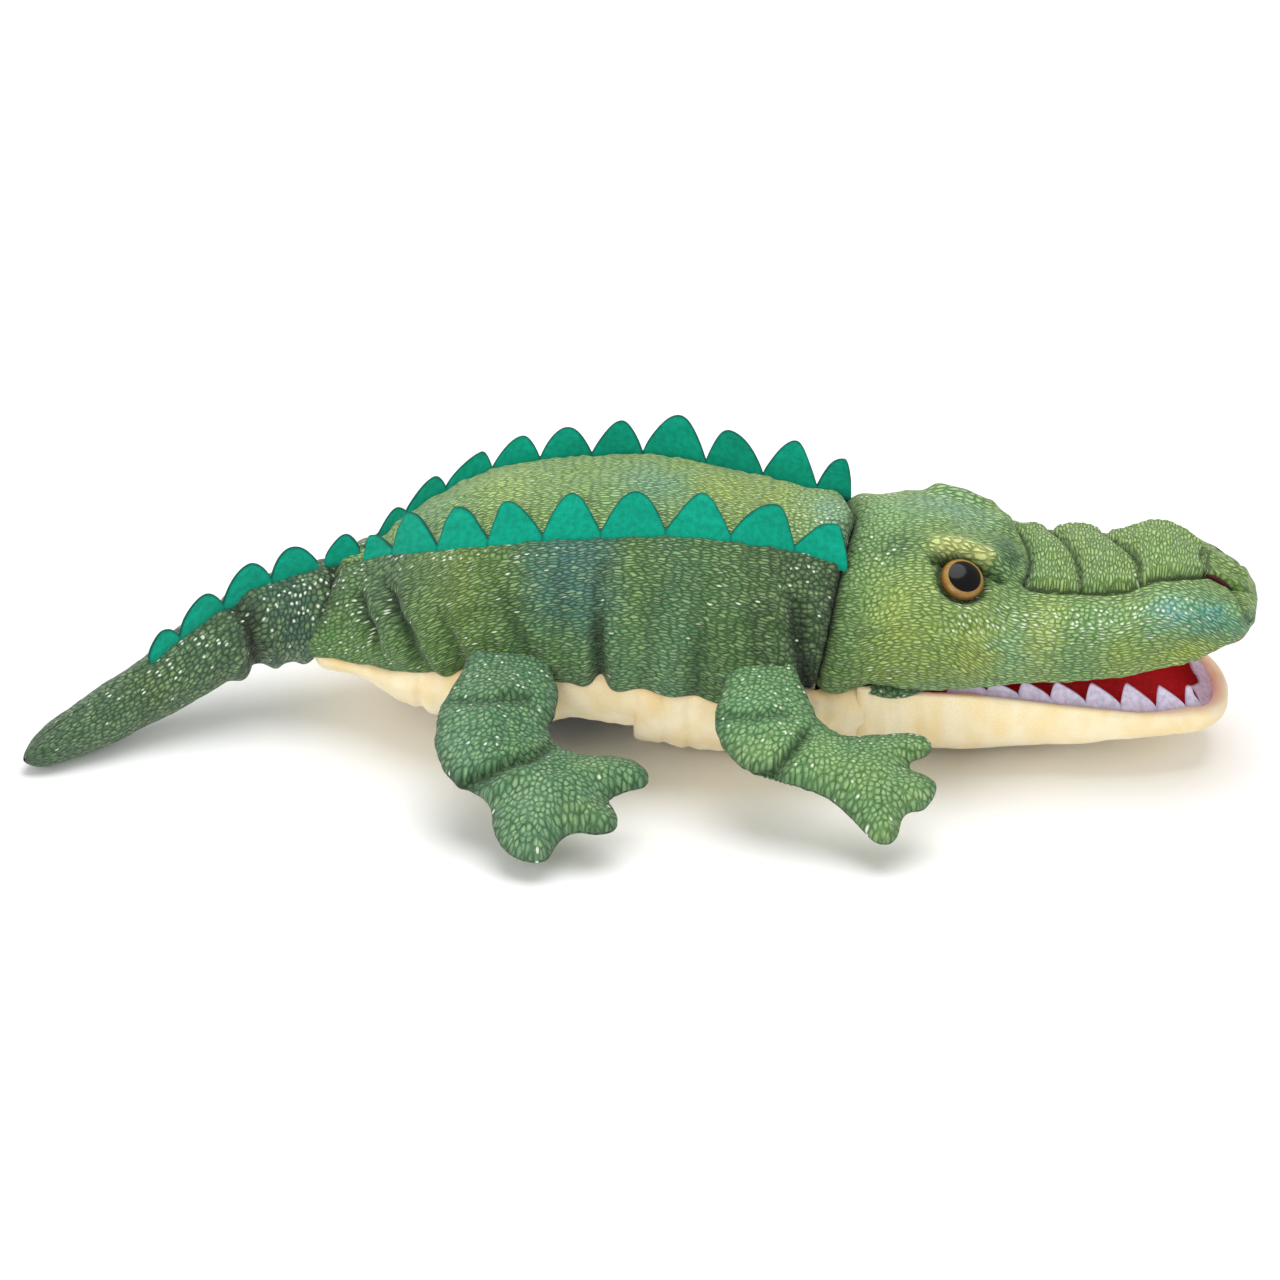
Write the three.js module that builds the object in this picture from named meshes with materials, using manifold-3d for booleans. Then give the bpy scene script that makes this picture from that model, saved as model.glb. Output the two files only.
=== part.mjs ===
// A crocodile hand puppet with a moving mouth, in millimetres.
// +X runs from the tail to the nose, +Y to the animal's left, +Z up. The origin is on the surface the
// puppet lies on, under the middle of its bounding box. The skins are sewn panels of plush, each a thin
// shell of its own, over stuffing in the head, tail and legs. The hand goes in through the belly, along
// the lining and into the two pockets that work the jaws.
import * as THREE from "three";
import Module from "manifold-3d";
import { mergeVertices } from "three/addons/utils/BufferGeometryUtils.js";

const wasm = await Module();
wasm.setup();

// ---------------------------------------------------------------- driving dimensions
const SKIN = 2; // plush panels
const GAP = 0.3; // between pieces that touch
const LINING = 1; // woven lining and pockets
const FELT = 1.6; // ridges
const RED_FELT = 1; // mouth lining and teeth
const BOARD = 2; // stiff mouth boards

const TORSO_REAR = -127;
const TORSO_FRONT = 72;
const HEAD_REAR = 92;
const JAW_REAR = 118; // the corner of the mouth
const BELLY_SPLIT = -2; // hem of the front belly panel
const NOSE_START = 229;
const CROWN_END = 148;

const RIDGE_GAP = 1.2; // degrees left for the ridge in its seam
const BELLY_ANGLE = 99; // where the side panels meet the belly, from the top of the back
const BELLY_GAP = 0.4;
const CROWN_ANGLE = 31.5;
const SEAM_GAP = 0.6; // degrees left on each side of a seam of the head
const LIP_ANGLE = 130;

const EYE = { x: 127.5, angle: 43.5, radius: 9, height: 6.5, shank: 2.2, shankLength: 13, washer: 7.5 };
const BROW_ANGLE = 26;
const HAND_HOLE = { x: -36, halfLength: 31, halfWidth: 34 };

// x, centre height, half-width, half-height
const TORSO = [
  [-127, 43.5, 26, 24],
  [-113, 44.5, 32, 28],
  [-98, 47, 44, 38],
  [-77, 51.5, 54, 46.5],
  [-57, 55, 60, 50.5],
  [-16, 57.5, 65, 54],
  [4, 56, 66, 56],
  [24, 53.5, 65, 56.5],
  [45, 51.5, 63, 54.5],
  [65, 51, 58, 51.5],
  [94, 50.5, 52, 49],
];

// The seams that hold the ridges: x, angle from the top of the back
const RIDGE_SEAM = [
  [-127, 9],
  [-113, 10],
  [-98, 22],
  [-84, 29],
  [-62, 32],
  [-40, 32],
  [-16, 31],
  [10, 29],
  [37, 26.5],
  [62, 27.5],
  [83, 33],
];

// The spikes of each ridge: where it starts, where its point is and how high that stands
const RIDGE_FOOT = 2.2;
const RIDGE_LIFT = 1.6; // above the seam it is sewn into
const RIDGE_END = 71;
const SPIKES_RIGHT = [
  [-115.5, -112.5, 8], [-103.5, -97.5, 14.5], [-85, -79, 15.5], [-64.5, -57, 15], [-42.5, -33, 16.5],
  [-19, -5, 16], [7, 22, 15.5], [33.5, 50.5, 15.5], [59.5, 67, 10],
];
const SPIKES_LEFT = [
  [-112, -105, 9], [-99.5, -89, 12], [-84, -71, 13.5], [-65.5, -53, 14], [-46, -36, 15], [-25, -12.5, 15.5],
  [-4, 9, 16.5], [22, 32.5, 15], [45.5, 58, 15.5],
];
const SCALLOPS_RUMP = [[-126, -120.5, 8]];
const SCALLOPS_RUMP_END = -117;
const SCALLOPS_TAIL = [[-200, -194, 8], [-188.5, -179, 10], [-172, -160, 10.5], [-151.5, -142, 11]];
const SCALLOPS_TAIL_END = -132;

// x, y, z, radius
const TAIL = [
  [-130, 0, 43.8, 20],
  [-145, -3.5, 41.5, 19.2],
  [-160, -9, 39, 17.8],
  [-180, -19.5, 30.5, 15.6],
  [-200, -32.5, 20.5, 13.2],
  [-220, -47, 13.4, 11.3],
  [-236, -60, 9.4, 8.4],
  [-250, -72, 6.2, 4],
];

// x, top, half-width, height of the widest point, lip
const HEAD = [
  [92, 99.5, 51, 56, 46],
  [106, 104.5, 54, 58, 46],
  [118, 105, 54, 60, 45.5],
  [130, 101, 52, 62, 45],
  [140, 94, 48.5, 62, 45.5],
  [148, 87, 46, 61, 45.5],
  [166, 90, 42.5, 61, 45.5],
  [177, 85.5, 41.5, 61.5, 46.5],
  [187, 91, 40.5, 62, 47.5],
  [197, 87, 39.5, 64, 49.5],
  [208, 95, 38, 67, 52],
  [222, 91.5, 34.5, 70, 55.5],
  [236, 83.5, 27, 71, 59.5],
  [245, 77.5, 17, 71, 64],
  [250, 71.5, 5, 70, 67.5],
];

// x, rim, bottom, half-width
const JAW = [
  [92, 45, 2.6, 50],
  [118, 42, 0.6, 47],
  [134, 40, 1, 43.5],
  [150, 37.3, 2, 41],
  [170, 34.3, 4.2, 38.5],
  [190, 31.8, 7, 36.5],
  [208, 29.6, 10.5, 34],
  [222, 27.6, 13.5, 29],
  [233, 26, 16.5, 20.5],
  [240, 24.5, 20.5, 6],
];

// Legs: hip, slope of the leg below the horizontal in degrees, thickness, lines through the middle of the
// limb and each toe, and the outline, as forward and outward distances from the hip.
const LEG_POINTS = 46;
const REAR_LEG = {
  pivot: [-55, 75, 47.7],
  slope: 33,
  thickness: 22,
  bones: [
    [[0, 0], [0, 30]],
    [[0, 30], [51, 31]],
    [[20, 36], [40, 51]],
    [[6, 40], [13, 64]],
  ],
  outline: [
    [-13, -10], [0, -11], [13, -10], [22, -5], [22.5, 3], [19.5, 11], [22, 17], [29, 21], [38, 22.5],
    [49, 22.5], [57, 25.5], [61.5, 32], [59, 37.5], [51, 40], [45.5, 42.5], [48, 47.5], [50, 53], [47, 58.5],
    [38, 60], [29, 61.5], [24.5, 66.5], [20.5, 72], [14, 74], [7, 71.5], [1, 66], [-2.5, 57.5], [-4, 50],
    [-9, 45], [-18, 39], [-25, 30.5], [-28, 19], [-27, 6], [-22, -5],
  ],
};
const FRONT_LEG = {
  pivot: [49, 75, 47],
  slope: 40.5,
  thickness: 20,
  bones: [
    [[0, 0], [0, 10]],
    [[0, 10], [44, 23]],
    [[44, 17], [54, 13]],
    [[44, 25], [58, 29]],
    [[42, 26], [50, 43]],
  ],
  outline: [
    [-12, -10], [0, -11], [11, -10], [19, -7], [24, 0], [34, 6.5], [47, 5.5], [59, 4], [67, 5.5], [71, 10],
    [68, 15.5], [61, 19], [68, 22.5], [73, 27], [73, 33], [69, 38], [62, 40.5], [59.5, 44], [58.5, 50],
    [54.5, 54], [49, 54], [44, 50.5], [38, 44], [28.5, 36.5], [16, 31.5], [4, 28], [-8, 23], [-15.5, 15.5],
    [-19.5, 6], [-19, -4],
  ],
};

// ---------------------------------------------------------------- materials
const skin = new THREE.MeshStandardMaterial({ color: 0x5a7a3c, roughness: 0.8 });
const cream = new THREE.MeshStandardMaterial({ color: 0xf2dfae, roughness: 0.95 });
const felt = new THREE.MeshStandardMaterial({ color: 0x0a8f68, roughness: 0.95 });
const red = new THREE.MeshStandardMaterial({ color: 0xb5060f, roughness: 0.95 });
const white = new THREE.MeshStandardMaterial({ color: 0xdcd6ee, roughness: 0.95 });
const lining = new THREE.MeshStandardMaterial({ color: 0xe6dcc4, roughness: 0.85 });
const filling = new THREE.MeshStandardMaterial({ color: 0xf4f4f2, roughness: 1 });
const board = new THREE.MeshStandardMaterial({ color: 0x55524e, roughness: 0.8 });
const eyePlastic = new THREE.MeshStandardMaterial({ color: 0x0c0b0b, roughness: 0.15 });
const washerPlastic = new THREE.MeshStandardMaterial({ color: 0xe8e8e4, roughness: 0.5 });

const puppet = new THREE.Group();

// ---------------------------------------------------------------- helpers
const radians = THREE.MathUtils.degToRad;

// A smooth value along x through one column of a station table.
function along(stations, column) {
  const last = stations.length - 1;
  const slope = (i) => {
    const a = stations[Math.max(i - 1, 0)];
    const b = stations[Math.min(i + 1, last)];
    return (b[column] - a[column]) / (b[0] - a[0]);
  };
  const forward = stations[last][0] > stations[0][0] ? 1 : -1;
  return (x) => {
    let i = 0;
    while (i < last - 1 && forward * (x - stations[i + 1][0]) > 0) i++;
    const h = stations[i + 1][0] - stations[i][0];
    const t = THREE.MathUtils.clamp((x - stations[i][0]) / h, 0, 1);
    const s = 1 - t;
    const start = stations[i][column] * (1 + 2 * t) * s * s + slope(i) * h * t * s * s;
    const end = stations[i + 1][column] * (3 - 2 * t) * t * t - slope(i + 1) * h * t * t * s;
    return start + end;
  };
}

// A closed BufferGeometry from points and triangles, facing out, without collapsed triangles.
function closed(points, triangles) {
  const flat = new Float32Array(points.length * 3);
  points.forEach((p, i) => p.toArray(flat, i * 3));
  const geometry = new THREE.BufferGeometry();
  geometry.setAttribute("position", new THREE.BufferAttribute(flat, 3));
  geometry.setIndex(triangles.flat());
  const merged = mergeVertices(geometry, 1e-3);
  const index = merged.index.array;
  const kept = [];
  for (let i = 0; i < index.length; i += 3) {
    const [a, b, c] = index.slice(i, i + 3);
    if (a !== b && b !== c && c !== a) kept.push([a, b, c]);
  }
  const at = (i) => new THREE.Vector3().fromBufferAttribute(merged.attributes.position, i);
  const volume = kept.reduce((sum, [a, b, c]) => sum + at(a).dot(at(b).cross(at(c))), 0);
  merged.setIndex((volume < 0 ? kept.map(([a, b, c]) => [a, c, b]) : kept).flat());
  return merged;
}

function toSolid(geometry) {
  const bare = geometry.clone();
  bare.deleteAttribute("normal");
  bare.deleteAttribute("uv");
  const merged = mergeVertices(bare, 1e-3);
  const vertProperties = merged.attributes.position.array;
  const triVerts = new Uint32Array(merged.index.array);
  return new wasm.Manifold(new wasm.Mesh({ numProp: 3, vertProperties, triVerts }));
}

function fromSolid(solid) {
  const { vertProperties, triVerts } = solid.getMesh();
  const geometry = new THREE.BufferGeometry();
  geometry.setAttribute("position", new THREE.BufferAttribute(new Float32Array(vertProperties), 3));
  geometry.setIndex([...triVerts]);
  return geometry;
}

function range(from, to, steps) {
  return Array.from({ length: steps + 1 }, (_, i) => from + ((to - from) * i) / steps);
}

// A shell between a surface and the same surface set in by its thickness. us run along the object and vs
// around it. wrap joins the last v to the first; tip closes the shell where the last u comes to a point.
function panel(surface, us, vs, outer, inner, { wrap = false, tip = 0 } = {}) {
  const rows = us.length;
  const cols = vs.length;
  const points = [];
  for (const inset of [outer, inner]) {
    us.forEach((u, i) => {
      const closing = tip && i === rows - 1;
      const middle = closing && vs.reduce((sum, v) => sum.add(surface(u, v, inset)), new THREE.Vector3());
      for (const v of vs) {
        if (!closing) points.push(surface(u, v, inset));
        else points.push(middle.clone().divideScalar(cols).add(new THREE.Vector3(inset * tip, 0, 0)));
      }
    });
  }
  const at = (layer, i, j) => layer * rows * cols + i * cols + (wrap ? j % cols : j);
  const triangles = [];
  const quad = (a, b, c, d) => triangles.push([a, b, c], [a, c, d]);
  const across = wrap ? cols : cols - 1;
  for (let i = 0; i < rows - 1; i++) {
    for (let j = 0; j < across; j++) {
      quad(at(0, i, j), at(0, i + 1, j), at(0, i + 1, j + 1), at(0, i, j + 1));
      quad(at(1, i, j), at(1, i, j + 1), at(1, i + 1, j + 1), at(1, i + 1, j));
    }
    if (!wrap) {
      quad(at(0, i, 0), at(1, i, 0), at(1, i + 1, 0), at(0, i + 1, 0));
      quad(at(0, i, cols - 1), at(0, i + 1, cols - 1), at(1, i + 1, cols - 1), at(1, i, cols - 1));
    }
  }
  for (let j = 0; j < across; j++) {
    quad(at(0, 0, j), at(0, 0, j + 1), at(1, 0, j + 1), at(1, 0, j));
    if (!tip) quad(at(0, rows - 1, j), at(1, rows - 1, j), at(1, rows - 1, j + 1), at(0, rows - 1, j + 1));
  }
  return closed(points, triangles);
}

// A solid through rings of points, with flat ends.
function loft(rings) {
  const cols = rings[0].length;
  const points = rings.flat();
  const triangles = [];
  for (let i = 0; i < rings.length - 1; i++) {
    for (let j = 0; j < cols; j++) {
      const a = i * cols + j;
      const b = i * cols + ((j + 1) % cols);
      triangles.push([a, a + cols, b + cols], [a, b + cols, b]);
    }
  }
  const end = (rings.length - 1) * cols;
  for (let j = 1; j < cols - 1; j++) triangles.push([0, j, j + 1], [end, end + j + 1, end + j]);
  return closed(points, triangles);
}

// A flat-sided block along x, from its half-width and its lower and upper heights.
function slab(xs, halfWidth, low, high) {
  return loft(
    xs.map((x) => [
      new THREE.Vector3(x, -halfWidth(x), low(x)),
      new THREE.Vector3(x, halfWidth(x), low(x)),
      new THREE.Vector3(x, halfWidth(x), high(x)),
      new THREE.Vector3(x, -halfWidth(x), high(x)),
    ]),
  );
}

// A woven pocket, open at the neck end and closed at the front.
function pocket(xs, halfWidth, low, high) {
  const insideXs = [xs[0] - 8, ...xs.slice(1, -1), xs.at(-1) - LINING];
  const narrower = (x) => halfWidth(x) - LINING;
  const hollow = slab(insideXs, narrower, (x) => low(x) + LINING, (x) => high(x) - LINING);
  return fromSolid(toSolid(slab(xs, halfWidth, low, high)).subtract(toSolid(hollow)));
}

function add(name, geometry, material, parent = puppet) {
  const mesh = new THREE.Mesh(geometry, material);
  mesh.name = name;
  parent.add(mesh);
  return mesh;
}

// ---------------------------------------------------------------- surfaces
const torso = { z: along(TORSO, 1), a: along(TORSO, 2), b: along(TORSO, 3) };
const head = { top: along(HEAD, 1), a: along(HEAD, 2), wide: along(HEAD, 3), lip: along(HEAD, 4) };
const jaw = { rim: along(JAW, 1), bottom: along(JAW, 2), a: along(JAW, 3) };
const tail = { y: along(TAIL, 1), z: along(TAIL, 2), r: along(TAIL, 3) };
const ridgeSeam = along(RIDGE_SEAM, 1);

// Angles run from the top down the right side. The torso is flat where it lies on the surface.
function torsoPoint(x, angle, inset) {
  const a = radians(angle);
  const y = -Math.sin(a) * (torso.a(x) - inset);
  const z = torso.z(x) + Math.cos(a) * (torso.b(x) - inset);
  return new THREE.Vector3(x, y, Math.max(z, inset));
}

// Round over the top to the widest point at 90 degrees, then down the cheek to the lip.
function headPoint(x, angle, inset) {
  const side = -Math.sign(angle);
  const turn = Math.abs(angle);
  const a = head.a(x) - inset;
  if (turn <= 90) {
    const z = head.wide(x) + Math.cos(radians(turn)) * (head.top(x) - inset - head.wide(x));
    return new THREE.Vector3(x, side * Math.sin(radians(turn)) * a, z);
  }
  const k = (turn - 90) / (LIP_ANGLE - 90);
  const z = THREE.MathUtils.lerp(head.wide(x), head.lip(x), k);
  return new THREE.Vector3(x, side * a * (1 - 0.08 * k * k), z);
}

// A bowl hanging from the rim: -90 is the left rim, 0 the bottom, 90 the right rim.
function jawPoint(x, angle, inset) {
  const a = radians(angle);
  const depth = jaw.rim(x) - Math.max(jaw.bottom(x), 0) - inset;
  const z = jaw.rim(x) - Math.pow(Math.cos(a), 0.8) * depth;
  return new THREE.Vector3(x, -Math.sin(a) * (jaw.a(x) - inset), z);
}

function tailPoint(x, angle, inset) {
  const a = radians(angle);
  const r = Math.max(tail.r(x) - inset, 0.8);
  const heading = Math.atan2(tail.y(x + 1) - tail.y(x - 1), 2);
  const sideways = -Math.sin(a) * r;
  return new THREE.Vector3(
    x - Math.sin(heading) * sideways,
    tail.y(x) + Math.cos(heading) * sideways,
    tail.z(x) + Math.cos(a) * r,
  );
}

// ---------------------------------------------------------------- torso
const torsoXs = [TORSO_REAR, -118, -105, -88, -68, -45, -20, -2, 24, 45, 60, TORSO_FRONT];
const rearXs = [TORSO_REAR, -118, -105, -88, -68, -45, -20, BELLY_SPLIT - 2];
const frontXs = [BELLY_SPLIT, 10, 24, 45, 60, TORSO_FRONT];

function buildTorso() {
  // Across the back from one ridge to the other, and down a side from its ridge to the belly.
  const backPoint = (x, across, inset) => torsoPoint(x, across * (ridgeSeam(x) - RIDGE_GAP), inset);
  const sidePoint = (x, down, inset) => {
    const from = ridgeSeam(x) + RIDGE_GAP;
    const angle = THREE.MathUtils.lerp(from, BELLY_ANGLE - BELLY_GAP, Math.abs(down));
    return torsoPoint(x, Math.sign(down) * angle, inset);
  };
  add("back_panel", panel(backPoint, torsoXs, range(-1, 1, 6), 0, SKIN), skin);
  const side = [1e-6, ...range(0, 1, 4).slice(1)];
  add("side_panel_right", panel(sidePoint, torsoXs, side, 0, SKIN), skin);
  add("side_panel_left", panel(sidePoint, torsoXs, side.map((v) => -v), 0, SKIN), skin);
  const belly = range(BELLY_ANGLE + BELLY_GAP, 360 - BELLY_ANGLE - BELLY_GAP, 12);
  add("belly_front_panel", panel(torsoPoint, frontXs, belly, 0, SKIN), cream);
  const rear = toSolid(panel(torsoPoint, rearXs, belly, 0, SKIN));
  const through = 60;
  const hole = new THREE.CylinderGeometry(1, 1, through, 20);
  hole.rotateX(Math.PI / 2);
  hole.scale(HAND_HOLE.halfLength, HAND_HOLE.halfWidth, 1);
  hole.translate(HAND_HOLE.x, 0, 0);
  add("belly_rear_panel", fromSolid(rear.subtract(toSolid(hole))), cream);
  const around = range(0, 360, 16).slice(0, -1);
  const liningXs = [1, 18, 36, 54, 70];
  const liningInset = SKIN + 2;
  const tube = panel(torsoPoint, liningXs, around, liningInset, liningInset + LINING, { wrap: true });
  add("glove_lining", tube, lining);
}

// ---------------------------------------------------------------- felt ridges
// A strip of spikes: base gives the foot of the strip at x, up is the way it stands, and across its
// thickness.
function ridge(base, up, across, spikes, end, roundness) {
  const steps = 6;
  const half = across.clone().multiplyScalar(FELT / 2);
  const stations = [];
  spikes.forEach(([start, point, height], i) => {
    const next = i + 1 < spikes.length ? spikes[i + 1][0] : end;
    for (const t of range(0, 1, steps).slice(0, -1)) {
      const x = t < 0.5 ? start + (point - start) * 2 * t : point + (next - point) * (2 * t - 1);
      stations.push([x, RIDGE_FOOT + height * Math.pow(Math.sin(Math.PI * t), roundness)]);
    }
  });
  stations.push([end, RIDGE_FOOT]);
  return loft(
    stations.map(([x, height]) => {
      const low = base(x);
      const high = low.clone().addScaledVector(up, height);
      return [low.clone().sub(half), low.clone().add(half), high.clone().add(half), high.clone().sub(half)];
    }),
  );
}

function buildRidges() {
  const sides = [
    { name: "ridge_right", side: -1, lean: radians(21), spikes: SPIKES_RIGHT },
    { name: "ridge_left", side: 1, lean: radians(6), spikes: SPIKES_LEFT },
  ];
  for (const { name, side, lean, spikes } of sides) {
    // Leaning towards the middle of the back.
    const up = new THREE.Vector3(0, -side * Math.sin(lean), Math.cos(lean));
    const across = new THREE.Vector3(0, Math.cos(lean), side * Math.sin(lean));
    const lift = new THREE.Vector3(0, 0, RIDGE_LIFT);
    const base = (x) => torsoPoint(x, -side * ridgeSeam(x), -0.4).add(lift);
    add(name, ridge(base, up, across, spikes, RIDGE_END, 1.1), felt);
  }
  const upright = new THREE.Vector3(0, 0, 1);
  const sideways = new THREE.Vector3(0, 1, 0);
  const round = 0.8;
  const rump = (x) => torsoPoint(x, 0, -1.8);
  add("ridge_rump", ridge(rump, upright, sideways, SCALLOPS_RUMP, SCALLOPS_RUMP_END, round), felt);
  const tailTop = (x) => tailPoint(x, 0, -0.9);
  add("ridge_tail", ridge(tailTop, upright, sideways, SCALLOPS_TAIL, SCALLOPS_TAIL_END, round), felt);
}

// ---------------------------------------------------------------- tail
function buildTail() {
  const xs = [-130, -145, -160, -180, -200, -220, -236, -246];
  const split = 1.4;
  const right = range(split, 180 - split, 6);
  const skinXs = [...xs, -249];
  add("tail_skin_right", panel(tailPoint, skinXs, right, 0, SKIN, { tip: 1 }), skin);
  add("tail_skin_left", panel(tailPoint, skinXs, right.map((v) => -v), 0, SKIN, { tip: 1 }), skin);
  const around = range(0, 360, 12).slice(0, -1);
  const inside = xs.map((x) => around.map((v) => tailPoint(x, v, SKIN + 0.5)));
  add("tail_stuffing", loft(inside), filling);
}

// ---------------------------------------------------------------- head
const HEAD_XS = [92, 106, 118, 130, 140, 148, 157, 166, 177, 187, 197, 208, 215, 222, 229, 236, 245];
const PALATE_XS = [118, 140, 166, 187, 208, 222, 236, 243];
const palate = (x) => head.lip(x) + 5; // underside of the upper board
const palateHalf = (x) => Math.max(head.a(x) * 0.92 - SKIN - 2, 2);
const pocketHigh = (x) => palate(x) + BOARD + GAP + 19.5;
const pocketHalf = (x) => Math.min(33, head.a(x) * 1.2 - 19);

// The closed upper head from the neck to the nose, set in from the outer surface.
function headSolid(xs, inset, around) {
  const angles = range(-LIP_ANGLE, LIP_ANGLE, around);
  return toSolid(loft(xs.map((x) => angles.map((v) => headPoint(x, v, inset)))));
}

// Places a geometry made along +Z with its foot on the head's surface beside the crown, facing out.
function onHead(geometry, x, angle, lift) {
  const here = headPoint(x, angle, 0);
  const forward = headPoint(x + 1, angle, 0).sub(headPoint(x - 1, angle, 0));
  const down = headPoint(x, angle + 1, 0).sub(headPoint(x, angle - 1, 0));
  const out = forward.clone().cross(down).normalize();
  if (out.z < 0) out.negate();
  geometry.applyQuaternion(new THREE.Quaternion().setFromUnitVectors(new THREE.Vector3(0, 0, 1), out));
  geometry.translate(...here.addScaledVector(out, lift).toArray());
  return geometry;
}

function lathe(profile, segments) {
  const geometry = new THREE.LatheGeometry(profile.map(([r, z]) => new THREE.Vector2(r, z)), segments);
  return geometry.rotateX(Math.PI / 2);
}

function eyeGeometry(grow) {
  const r = EYE.radius + grow;
  const rim = 1.2;
  const dome = range(0, 90, 4).map((t) => {
    const angle = radians(t);
    return [Math.cos(angle) * r, rim + Math.sin(angle) * (EYE.height + grow - rim)];
  });
  const shank = EYE.shank + grow;
  const back = [[0, -EYE.shankLength], [shank, -EYE.shankLength], [shank, -grow], [r, -grow]];
  return lathe([...back, ...dome.slice(0, -1), [0, EYE.height + grow]], 20);
}

function washerGeometry() {
  const hole = EYE.shank + GAP;
  const r = EYE.washer;
  return lathe([[hole, -5.4], [hole, -6.8], [r, -6.8], [r, -5.4], [hole, -5.4]], 20);
}

function buildHead() {
  const outside = headSolid(HEAD_XS, -0.6, 28);
  const crownXs = HEAD_XS.filter((x) => x <= CROWN_END);
  const snoutMiddle = HEAD_XS.filter((x) => x > CROWN_END && x < NOSE_START);
  const snoutXs = [CROWN_END + 0.6, ...snoutMiddle, NOSE_START - 0.3];
  const noseXs = [NOSE_START + 0.3, ...HEAD_XS.filter((x) => x > NOSE_START), 250];
  const cheekXs = [...HEAD_XS, 249];
  const top = range(-CROWN_ANGLE + SEAM_GAP, CROWN_ANGLE - SEAM_GAP, 6);
  add("crown_panel", panel(headPoint, crownXs, top, 0, SKIN), skin);
  add("snout_top_panel", panel(headPoint, snoutXs, top, 0, SKIN), skin);
  add("nose_cap", panel(headPoint, noseXs, top, 0, SKIN, { tip: -1 }), skin);

  const pocketXs = [118, 140, 166, 187, 204];
  const handSpaceXs = [80, ...pocketXs, 206];
  const handSpace = slab(
    handSpaceXs,
    (x) => (x < JAW_REAR ? 38 : pocketHalf(x) + GAP),
    () => 0,
    (x) => (x < JAW_REAR ? 76 : pocketHigh(x) + GAP),
  );
  const floor = (x) => (x < JAW_REAR ? 47 : palate(x) + BOARD + GAP);
  const below = slab([90, ...PALATE_XS, 252], () => 70, () => 0, floor);
  let stuffing = headSolid(HEAD_XS, SKIN + 0.6, 14).subtract(toSolid(handSpace)).subtract(toSolid(below));

  for (const [side, sign] of [["right", 1], ["left", -1]]) {
    const eye = toSolid(onHead(eyeGeometry(0), EYE.x, sign * EYE.angle, GAP));
    const eyeRoom = toSolid(onHead(eyeGeometry(GAP), EYE.x, sign * EYE.angle, GAP));
    const wellRadius = EYE.washer + 1;
    const washerRoom = new THREE.CylinderGeometry(wellRadius, wellRadius, 14, 16).rotateX(Math.PI / 2);
    const well = toSolid(onHead(washerRoom, EYE.x, sign * EYE.angle, -8));
    const around = range(sign * (CROWN_ANGLE + SEAM_GAP), sign * LIP_ANGLE, 8);
    const cheek = panel(headPoint, cheekXs, around, 0, SKIN);
    add(`cheek_${side}`, fromSolid(toSolid(cheek).subtract(eyeRoom)), skin);
    add(`eye_${side}`, fromSolid(eye), eyePlastic);
    add(`eye_washer_${side}`, onHead(washerGeometry(), EYE.x, sign * EYE.angle, GAP), washerPlastic);
    stuffing = stuffing.subtract(well);
    const fold = new THREE.SphereGeometry(1, 14, 8).scale(18, 6, 5);
    const brow = toSolid(onHead(fold, EYE.x, sign * BROW_ANGLE, 0.5));
    add(`brow_${side}`, fromSolid(brow.subtract(outside).subtract(eyeRoom)), skin);
  }
  add("head_stuffing", fromSolid(stuffing), filling);

  add("upper_palate_board", slab(PALATE_XS, palateHalf, palate, (x) => palate(x) + BOARD), board);
  const liningLow = (x) => palate(x) - GAP - RED_FELT;
  add("upper_mouth_lining", slab(PALATE_XS, palateHalf, liningLow, (x) => palate(x) - GAP), red);

  add("finger_pocket", pocket(pocketXs, pocketHalf, floor, pocketHigh), lining);
}

// ---------------------------------------------------------------- lower jaw
const jawInnerHalf = (x) => Math.max(jaw.a(x) - SKIN - 1.2, 2);

function toothStrip() {
  // The rim on the right, from the corner to the tip, mirrored on the left.
  const xs = [134, 150, 166, 182, 197, 210, 221, 230, 235.5];
  const rim = xs.map((x) => [x, -(jaw.a(x) - 4.2), jaw.rim(x) + 0.5]);
  const left = rim.map(([x, y, z]) => [x, -y, z]).reverse();
  const tip = [238, 0, jaw.rim(238) + 0.5];
  const curve = new THREE.CatmullRomCurve3([...rim, tip, ...left].map((p) => new THREE.Vector3(...p)));
  const teeth = 22;
  const steps = 4;
  const lean = radians(42);
  const rings = range(0, teeth * steps, teeth * steps).map((i) => {
    const u = i / (teeth * steps);
    const low = curve.getPointAt(u);
    const forward = curve.getTangentAt(u);
    const inward = new THREE.Vector3(-forward.y, forward.x, 0).normalize();
    const up = inward.clone().multiplyScalar(Math.sin(lean)).setZ(Math.cos(lean));
    const nearTip = 1 - Math.abs(2 * u - 1);
    const height = 1 + (4.5 + 3 * nearTip) * Math.sin((Math.PI * (i % steps)) / steps);
    const half = new THREE.Vector3().crossVectors(up, forward).normalize().multiplyScalar(RED_FELT / 2);
    const high = low.clone().addScaledVector(up, height);
    return [low.clone().sub(half), low.clone().add(half), high.clone().add(half), high.clone().sub(half)];
  });
  return loft(rings);
}

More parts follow.
